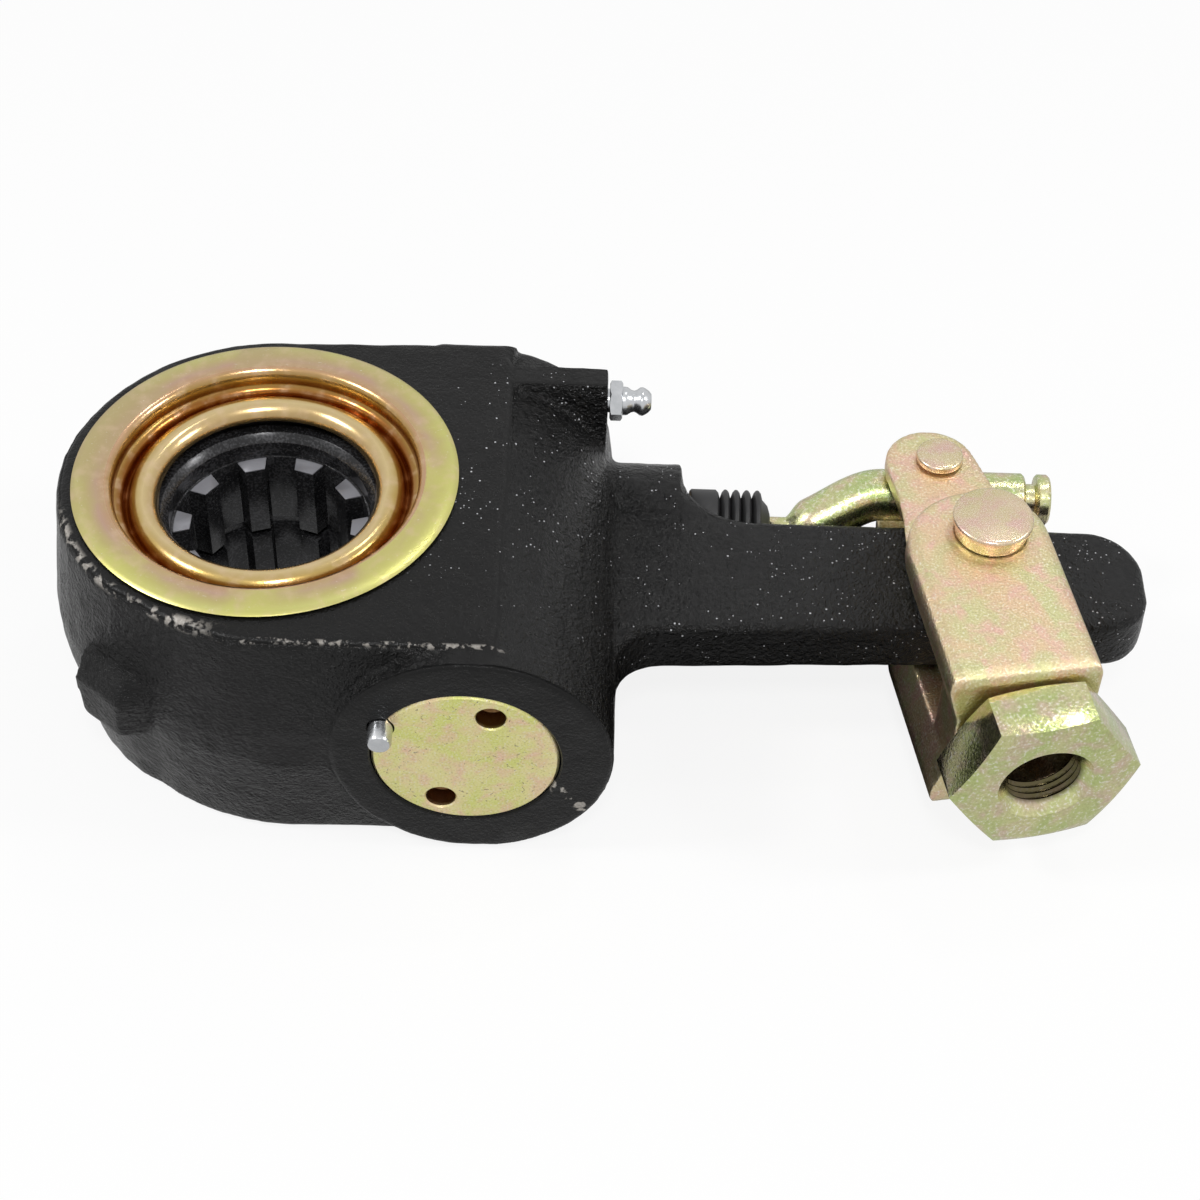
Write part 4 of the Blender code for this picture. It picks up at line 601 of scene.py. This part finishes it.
def bright_plate():
    """Bright zinc over turned steel, with fine machining lines and a little haze."""
    finish = Finish("bright_zinc", Metallic=1.0)
    fine = finish.noise(0.5 * MM, 3.0)
    haze = finish.noise(2.5 * MM, 2.0)
    finish.feed("Base Color", finish.blend(haze, (0.50, 0.52, 0.54), (0.78, 0.79, 0.81)))
    finish.feed("Roughness", 0.16 + haze * 0.16)
    finish.relief(fine, 0.03 * MM, 0.5)
    return finish


bright = bright_plate()
dress(lock_pin, bright, "housing", ["lock_pin"])


# Worm shaft and its bearings
#
# The worm, the rack's pinion and the wrap spring turn on one shaft, which ends in the adjusting hex. They run in
# grease inside the casting, so only the hex, its bush and its seal show.

def turned_metal(name, colour, roughness):
    """Machined metal with faint tool marks and oil haze."""
    finish = Finish(name, Metallic=1.0)
    fine = finish.noise(0.5 * MM, 3.0)
    haze = finish.noise(4 * MM, 3.0)
    dark = tuple(0.72 * part for part in colour)
    finish.feed("Base Color", finish.blend(haze, dark, colour))
    finish.feed("Roughness", roughness + haze * 0.14)
    finish.relief(fine, 0.04 * MM, 0.5)
    return finish


def moulded_rubber():
    """Black rubber, slightly greasy, with a fine moulded grain."""
    finish = Finish("moulded_rubber", IOR=1.5)
    fine = finish.noise(0.3 * MM, 2.0)
    bloom = finish.noise(5 * MM, 3.0)
    finish.feed("Base Color", finish.blend(bloom, (0.012, 0.012, 0.013), (0.026, 0.026, 0.027)))
    finish.feed("Roughness", 0.36 + bloom * 0.2)
    finish.relief(fine, 0.04 * MM, 0.5)
    return finish


steel = turned_metal("turned_steel", (0.50, 0.49, 0.47), 0.26)
spring_wire = turned_metal("oiled_spring_wire", (0.24, 0.24, 0.25), 0.30)
bearing_bronze = turned_metal("bearing_bronze", (0.62, 0.38, 0.17), 0.28)
rubber = moulded_rubber()
carried = {
    steel: ["worm_shaft", "pinion_washer", "rack_pinion", "front_thrust_washer", "rack_plunger",
            "large_cotter", "small_cotter"],
    spring_wire: ["clutch_spring", "disc_spring", "ball_retainer"],
    bearing_bronze: ["lower_thrust_ring", "wheel_bushing", "rear_bush", "guide_bush", "arm_bushing"],
    rubber: ["upper_seal", "shaft_seal"],
    bright: ["fitting_ball"],
}
for finish, nodes in carried.items():
    for node in nodes:
        mesh = frame["nodes"][node].data
        mesh.materials.clear()
        mesh.materials.append(finish.material)


# Boot
#
# A moulded rubber bellows that grips the casting's spigot with its collar and wipes the link's rod. Its folds are
# pressed close together with the link at rest.

boot_low, boot_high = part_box("boot")
boot_r = half_of("boot", "y")
boot_l = boot_high.x - boot_low.x
valley_r = boot_r - 1.9 * MM
inside_r = boot_r - 3.1 * MM
folds, fold_l, first_fold = 4, 2.19 * MM, 6.27 * MM
outside = [(boot_r - 0.5 * MM, 0), (boot_r - 0.1 * MM, 0.4 * MM), (boot_r - 0.1 * MM, 5.4 * MM),
           (boot_r - 0.7 * MM, 5.95 * MM)]
for fold in range(folds):
    start = first_fold + fold * fold_l
    outside += [(valley_r, start), (boot_r - 0.6 * MM, start + 0.45 * MM), (boot_r - 0.1 * MM, start + 0.85 * MM),
                (boot_r, start + 1.15 * MM), (boot_r - 0.1 * MM, start + 1.45 * MM),
                (boot_r - 0.6 * MM, start + 1.85 * MM)]
tail = first_fold + folds * fold_l
outside += [(valley_r, tail), (4.8 * MM, boot_l - 0.5 * MM), (3.3 * MM, boot_l), (3.1 * MM, boot_l - 1.4 * MM)]
outside += [(inside_r, tail - 1.0 * MM), (inside_r, 0), (boot_r - 0.5 * MM, 0)]
boot_at = Matrix.Translation((boot_low.x, slide_axis.y, slide_axis.z)) @ ALONG_X
boot = lathe("bellows_boot", outside, boot_at, 72)
dress(boot, rubber, "housing", ["boot"], 60)


# Link
#
# A forged rod with a ball in the rack's plunger at one end. It swells into a round bar that carries the small
# clevis pin, and ends in a turned neck and flange.

link_film = (0.48, 0.62, 0.24), (0.70, 0.68, 0.36), (0.74, 0.56, 0.42)
link_finish = chromate("link_chromate", slide_axis, link_film,
                       grain=0.6, gloss=0.20, depth=0.08, strength=0.7)
bar_r = 5.35 * MM
rod_r = 2.6 * MM
small_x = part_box("small_clevis_pin")[0].x / 2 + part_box("small_clevis_pin")[1].x / 2
small_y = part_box("small_clevis_pin")[0].y / 2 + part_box("small_clevis_pin")[1].y / 2
rise = Vector((small_x, small_y, clevis.z)) - slide_axis
bend = boot_high.x + 3.5 * MM - slide_axis.x
straight = bend + 0.65 * (rise.x - bend)
pick()
bpy.ops.curve.primitive_nurbs_path_add()
route = bpy.context.object
route.name = "link_bar"
route.data.splines.clear()
spline = route.data.splines.new("POLY")
stations = [(0.0, 0.0, rod_r), (bend, 0.0, rod_r)]
steps = 24
for index in range(1, steps + 1):
    t = index / steps
    swell = math.sin(math.pi / 2 * min(1.0, t / 0.3))
    stations.append((bend + (straight - bend) * t, t * t * (3 - 2 * t), rod_r + (bar_r - rod_r) * swell))
bar_end = rise.x + 18.5 * MM
stations += [(bar_end - 0.5 * MM, 1.0, bar_r), (bar_end, 1.0, bar_r - 0.5 * MM)]
spline.points.add(len(stations) - 1)
for point, (x, lift, radius) in zip(spline.points, stations):
    point.co = (x, rise.y * lift, rise.z * lift, 1)
    point.radius = radius / bar_r
route.data.dimensions = "3D"
route.data.bevel_depth = bar_r
route.data.bevel_resolution = 10
route.data.use_fill_caps = True
pick(route)
bpy.ops.object.convert(target="MESH")
bpy.ops.object.mode_set(mode="EDIT")
bpy.ops.mesh.select_all(action="SELECT")
bpy.ops.mesh.remove_doubles(threshold=0.01 * MM)
bpy.ops.mesh.normals_make_consistent(inside=False)
link = settle(bpy.context.object, Matrix.Translation(slide_axis))
pick()
bpy.ops.mesh.primitive_uv_sphere_add(segments=32, ring_count=20, radius=4.2 * MM, location=slide_axis)
ball = settle(bpy.context.object)
machine(link, ball, "UNION", "EXACT")
neck_r, flange_r = 3.2 * MM, 5.25 * MM
neck = [(AXIS, bar_end - 2 * MM), (neck_r, bar_end - 2 * MM), (neck_r, bar_end + 2.1 * MM),
        (3.6 * MM, bar_end + 2.4 * MM), (4.9 * MM, bar_end + 2.5 * MM), (flange_r, bar_end + 2.85 * MM),
        (flange_r, bar_end + 4.7 * MM), (4.8 * MM, bar_end + 5.2 * MM), (AXIS, bar_end + 5.2 * MM)]
neck_at = Matrix.Translation(slide_axis + Vector((0, rise.y, rise.z))) @ ALONG_X
machine(link, lathe("link_flange", neck, neck_at, 64), "UNION", "EXACT")
eye_r = 3.925 * MM
eye = [(AXIS, -10 * MM), (eye_r, -10 * MM), (eye_r, 10 * MM), (AXIS, 10 * MM)]
machine(link, lathe("link_eye", eye, Matrix.Translation(slide_axis + rise), 48), "DIFFERENCE", "EXACT")
dress(link, link_finish, "link", ["link"], 40)


# Clevis yoke
#
# A forged fork that straddles the arm. Its cheeks narrow to two thin ears round the small pin, with a round step
# about the large pin's boss. The chromate lies over a shot-blasted skin, so the yoke looks finely peeled.

yoke = copy_of("clevis_yoke", "forged_yoke")
work(yoke, "REMESH", mode="VOXEL", voxel_size=0.45 * MM)
work(yoke, "SMOOTH", factor=0.5, iterations=6)
yoke_film = (0.68, 0.66, 0.34), (0.82, 0.60, 0.38), (0.84, 0.54, 0.44)
yoke_finish = chromate("yoke_chromate", clevis, yoke_film,
                       grain=0.45, gloss=0.27, depth=0.18, strength=0.95)
tilt = math.radians(10.5)
outward = Vector((math.sin(tilt), -math.cos(tilt), 0))


def darken_bore(finish, radius, start, end):
    """Oil and shade down the push rod's bore: inside radius of the collar's axis, from start to end along it."""
    along = finish.x * outward.x + finish.y * outward.y
    across = finish.reach(finish.x - along * outward.x, finish.y - along * outward.y)
    from_axis = finish.reach(across, finish.z)
    inside = (1 - finish.step(from_axis, radius, radius + 0.4 * MM)) * finish.step(along, start, start + MM)
    inside = inside * (1 - finish.step(along, end - MM, end))
    finish.tint(inside * 0.9, (0.07, 0.05, 0.025))


darken_bore(yoke_finish, 8.4 * MM, 24 * MM, 46 * MM)
dress(yoke, yoke_finish, "clevis", ["clevis_yoke"], 60)


# Threaded collar
#
# A large hexagonal collar, turned from bar and threaded for the brake chamber's push rod. It is staked to the
# yoke's spigot. Its corners are turned down, and its mouth is countersunk.

collar_at = Matrix.Translation(clevis) @ Matrix.Rotation(tilt, 4, "Z") @ Matrix.Rotation(math.radians(90), 4, "X")
collar_at = collar_at @ Matrix.Rotation(math.radians(5.5), 4, "Z")
collar_end = 48.5 * MM
collar_start = 37.5 * MM
across = 31.75 * MM
corner = across / 2 / math.cos(math.radians(30))
pick()
bpy.ops.mesh.primitive_cylinder_add(vertices=6, radius=corner, depth=collar_end - collar_start,
                                    location=(0, 0, (collar_end + collar_start) / 2), rotation=(0, 0, math.radians(30)))
collar = bpy.context.object
collar.name = "threaded_hex_collar"
settle(collar)
face_r = 0.95 * across / 2
wide = corner + MM
drop = (wide - face_r) * math.tan(math.radians(16))
envelope = [(AXIS, collar_end), (face_r, collar_end), (wide, collar_end - drop), (wide, collar_start + drop),
            (face_r, collar_start), (AXIS, collar_start)]
machine(collar, lathe("collar_turning", envelope, None, 128), "INTERSECT", "EXACT")
thread_r = 7.94 * MM
bore = [(AXIS, collar_end + 2 * MM), (9.6 * MM, collar_end + 2 * MM), (9.3 * MM, collar_end),
        (thread_r, collar_end - 1.8 * MM)]
crest_r = thread_r - 0.75 * MM
pitch = 1.41 * MM
depth = collar_end - 2.4 * MM
while depth > collar_start:
    bore += [(crest_r, depth), (crest_r, depth - 0.2 * MM), (thread_r, depth - 0.62 * MM),
             (thread_r, depth - 0.82 * MM)]
    depth -= pitch
bore += [(thread_r, collar_start - 2 * MM), (AXIS, collar_start - 2 * MM)]
machine(collar, lathe("collar_thread", bore, None, 96), "DIFFERENCE", "EXACT")
seat_r = thread_r + 3.5 * MM
seat_end = 41.5 * MM
seat = [(AXIS, collar_start - 2 * MM), (seat_r, collar_start - 2 * MM), (seat_r, seat_end), (AXIS, seat_end)]
machine(collar, lathe("collar_seat", seat, None, 64), "DIFFERENCE", "EXACT")
settle(collar, collar_at)
work(collar, "BEVEL", width=0.25 * MM, segments=2, limit_method="ANGLE", angle_limit=math.radians(35))
collar_film = (0.56, 0.64, 0.26), (0.72, 0.70, 0.36), (0.74, 0.58, 0.44)
collar_finish = chromate("collar_chromate", clevis + outward * collar_end, collar_film,
                         grain=0.6, gloss=0.12, depth=0.06, strength=0.7)
darken_bore(collar_finish, 7.9 * MM, -14 * MM, -1.6 * MM)
dress(collar, collar_finish, "clevis", ["threaded_collar"], 28)


# Clevis pins
#
# Headed pins, turned and plated with the yoke. The large one joins the yoke to the arm and stands proud on its
# neck, and the small one carries the link.

def headed_pin(name, node, shank, neck_r, head_r, proud, axis):
    """A plated pin in its node's place, whose head stands proud of the yoke on a short neck."""
    low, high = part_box(node)
    top = high.z
    foot = low.z
    under = top - 1.6 * MM
    seat = under - proud + 0.3 * MM
    profile = [(AXIS, top), (head_r - 0.9 * MM, top - 0.01 * MM), (head_r - 0.4 * MM, top - 0.1 * MM),
               (head_r - 0.1 * MM, top - 0.35 * MM), (head_r, top - 0.65 * MM), (head_r, under + 0.2 * MM),
               (head_r - 0.2 * MM, under), (neck_r, under - 0.05 * MM), (neck_r, seat), (shank, seat),
               (shank, foot + 0.6 * MM), (shank - 0.6 * MM, foot), (AXIS, foot)]
    return lathe(name, profile, Matrix.Translation((axis.x, axis.y, 0)), 72)


pin_film = (0.70, 0.62, 0.34), (0.82, 0.66, 0.46), (0.80, 0.54, 0.46)
pin_finish = chromate("pin_chromate", clevis, pin_film,
                      grain=0.25, gloss=0.2, depth=0.02, strength=0.4)
large_pin = headed_pin("large_headed_pin", "large_clevis_pin", shank=6.35 * MM, neck_r=7.0 * MM, head_r=7.8 * MM,
                       proud=3.0 * MM, axis=clevis)
dress(large_pin, pin_finish, "clevis", ["large_clevis_pin"])
small_pin = headed_pin("small_headed_pin", "small_clevis_pin", shank=3.175 * MM, neck_r=3.9 * MM, head_r=4.7 * MM,
                       proud=0.6 * MM, axis=Vector((small_x, small_y, 0)))
dress(small_pin, pin_finish, "clevis", ["small_clevis_pin"])


# Grease fitting
#
# A hardened and bright plated nipple with a hexagon, a waisted neck and a ball check in its tip. It is screwed
# into the lug on the casting's corner.

fit_axis = Vector((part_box("grease_fitting")[1].x - 8.7 * MM, lug_at.y, lug_at.z))
hole_r, stem_r, shank_r, foot = 0.9 * MM, 2.9 * MM, 2.4 * MM, -7 * MM
nipple = [(hole_r, 6.4 * MM), (hole_r, 8.6 * MM), (1.1 * MM, 8.7 * MM), (1.6 * MM, 8.65 * MM), (2.2 * MM, 8.15 * MM),
          (2.7 * MM, 7.4 * MM), (stem_r, 6.9 * MM), (2.85 * MM, 6.4 * MM), (2.35 * MM, 5.7 * MM), (2.15 * MM, 5.2 * MM),
          (2.3 * MM, 4.6 * MM), (2.8 * MM, 3.9 * MM), (stem_r, 3.4 * MM), (stem_r, 1.0 * MM), (shank_r, 1.0 * MM),
          (shank_r, foot), (AXIS, foot), (AXIS, 6.4 * MM), (hole_r, 6.4 * MM)]
fitting = lathe("grease_nipple", nipple, None, 48)
pick()
flats = 7.2 * MM
bpy.ops.mesh.primitive_cylinder_add(vertices=6, radius=flats / 2 / math.cos(math.radians(30)), depth=2.6 * MM,
                                    location=(0, 0, 1.6 * MM))
nipple_hex = settle(bpy.context.object)
hex_r = 4.35 * MM
turned = [(AXIS, 2.9 * MM), (3.5 * MM, 2.9 * MM), (hex_r, 2.4 * MM), (hex_r, 0.7 * MM), (3.5 * MM, 0.3 * MM),
          (AXIS, 0.3 * MM)]
machine(nipple_hex, lathe("hex_turning", turned, None, 48), "INTERSECT", "EXACT")
machine(fitting, nipple_hex, "UNION", "EXACT")
settle(fitting, Matrix.Translation(fit_axis) @ ALONG_X)
dress(fitting, bright, "housing", ["grease_fitting"])


# Stage
#
# A white sweep under soft boxes, seen from the photograph's place. A black card under the arm, seen only in the
# metal's reflections, is a painted shadow: it darkens the floor that the metal reflects where the part shades it.

def stage_node(tree, kind, output=0, operation=None, **sockets):
    """A node of the floor's or the world's material, with the values or links of its sockets."""
    made = tree.nodes.new("ShaderNode" + kind)
    if operation:
        made.operation = operation
    for key, value in sockets.items():
        socket = made.inputs[int(key[1:])] if key[0] == "_" else made.inputs[key]
        if isinstance(value, bpy.types.NodeSocket):
            tree.links.new(value, socket)
        else:
            socket.default_value = value
    return made.outputs[output]


def studio_sweep():
    """A white floor that takes shadows, and glows where the camera or a mirror sees it."""
    sweep = bpy.data.materials.new("white_sweep")
    sweep.use_nodes = True
    tree = sweep.node_tree
    tree.nodes.remove(tree.nodes["Principled BSDF"])
    rays = stage_node(tree, "LightPath").node.outputs
    matte = stage_node(tree, "BsdfDiffuse", Color=(0.86, 0.86, 0.86, 1))
    level = stage_node(tree, "MapRange", Value=rays["Is Camera Ray"], _3=0.62, _4=1.03)
    glow = stage_node(tree, "Emission", Strength=level)
    seen = stage_node(tree, "Math", operation="MAXIMUM", _0=rays["Is Camera Ray"], _1=rays["Is Glossy Ray"])
    share = stage_node(tree, "Math", operation="MULTIPLY", _0=seen, _1=0.84)
    mixed = stage_node(tree, "MixShader", _0=share, _1=matte, _2=glow)
    tree.links.new(mixed, tree.nodes["Material Output"].inputs["Surface"])
    return sweep


pick()
bpy.ops.mesh.primitive_plane_add(size=8, location=(0, 0, -0.05 * MM))
floor = bpy.context.object
floor.name = "studio_floor"
floor.data.materials.append(studio_sweep())

world = bpy.data.worlds.new("studio")
bpy.context.scene.world = world
world.use_nodes = True
backdrop = world.node_tree.nodes["Background"]
backdrop.inputs["Color"].default_value = (1, 1, 1, 1)
rays = stage_node(world.node_tree, "LightPath").node.outputs
mirrored = stage_node(world.node_tree, "MapRange", Value=rays["Is Glossy Ray"], _3=0.38, _4=0.80)
level = stage_node(world.node_tree, "Math", operation="MAXIMUM", _0=rays["Is Camera Ray"], _1=mirrored)
world.node_tree.links.new(level, backdrop.inputs["Strength"])


def soft_box(name, place, size, watts):
    """A square lamp that faces the middle of the part."""
    pick()
    bpy.ops.object.light_add(type="AREA", location=place)
    lamp = bpy.context.object
    lamp.name = name
    lamp.data.shape = "SQUARE"
    lamp.data.size = size
    lamp.data.energy = watts
    lamp.rotation_euler = (Vector((0, 0, 0.03)) - Vector(place)).to_track_quat("-Z", "Y").to_euler()
    return lamp


soft_box("key_box", (-0.55, -0.10, 0.62), 0.13, 1.6)
soft_box("side_box", (0.62, -0.05, 0.50), 0.12, 1.3)
soft_box("front_box", (0.02, -0.50, 0.85), 0.14, 2.2)
soft_box("top_box", (0.25, 0.30, 0.80), 0.08, 0.4)

# Painted shadow: a black card on the floor under the arm, seen only in reflections, stands in for the part's shade on
# the floor there.
velvet = bpy.data.materials.new("painted_shadow_black")
velvet.use_nodes = True
for socket, value in (("Base Color", (0.004, 0.004, 0.004, 1)), ("Roughness", 1.0), ("Specular IOR Level", 0.0)):
    velvet.node_tree.nodes["Principled BSDF"].inputs[socket].default_value = value
pick()
bpy.ops.mesh.primitive_plane_add(size=0.09, location=(0.052, 0.008, 0.5 * MM))
card = bpy.context.object
card.name = "painted_shadow_card"
card.visible_camera = False
card.visible_shadow = False
card.visible_diffuse = False
card.data.materials.append(velvet)

bpy.ops.object.camera_add(location=(-0.002562, -0.335640, 0.381380))
camera = bpy.context.object
camera.name = "photograph_view"
right = Vector((0.99946875, 0.02026038, 0.02552891))
down = Vector((0.03222108, -0.73201961, -0.68052119))
ahead = right.cross(down)
camera.rotation_euler = Matrix((right, -down, -ahead)).transposed().to_euler()
camera.data.sensor_width = 36
camera.data.lens = 73.374
camera.data.clip_start = 0.01
bpy.context.scene.camera = camera
bpy.context.scene.view_settings.view_transform = "Standard"
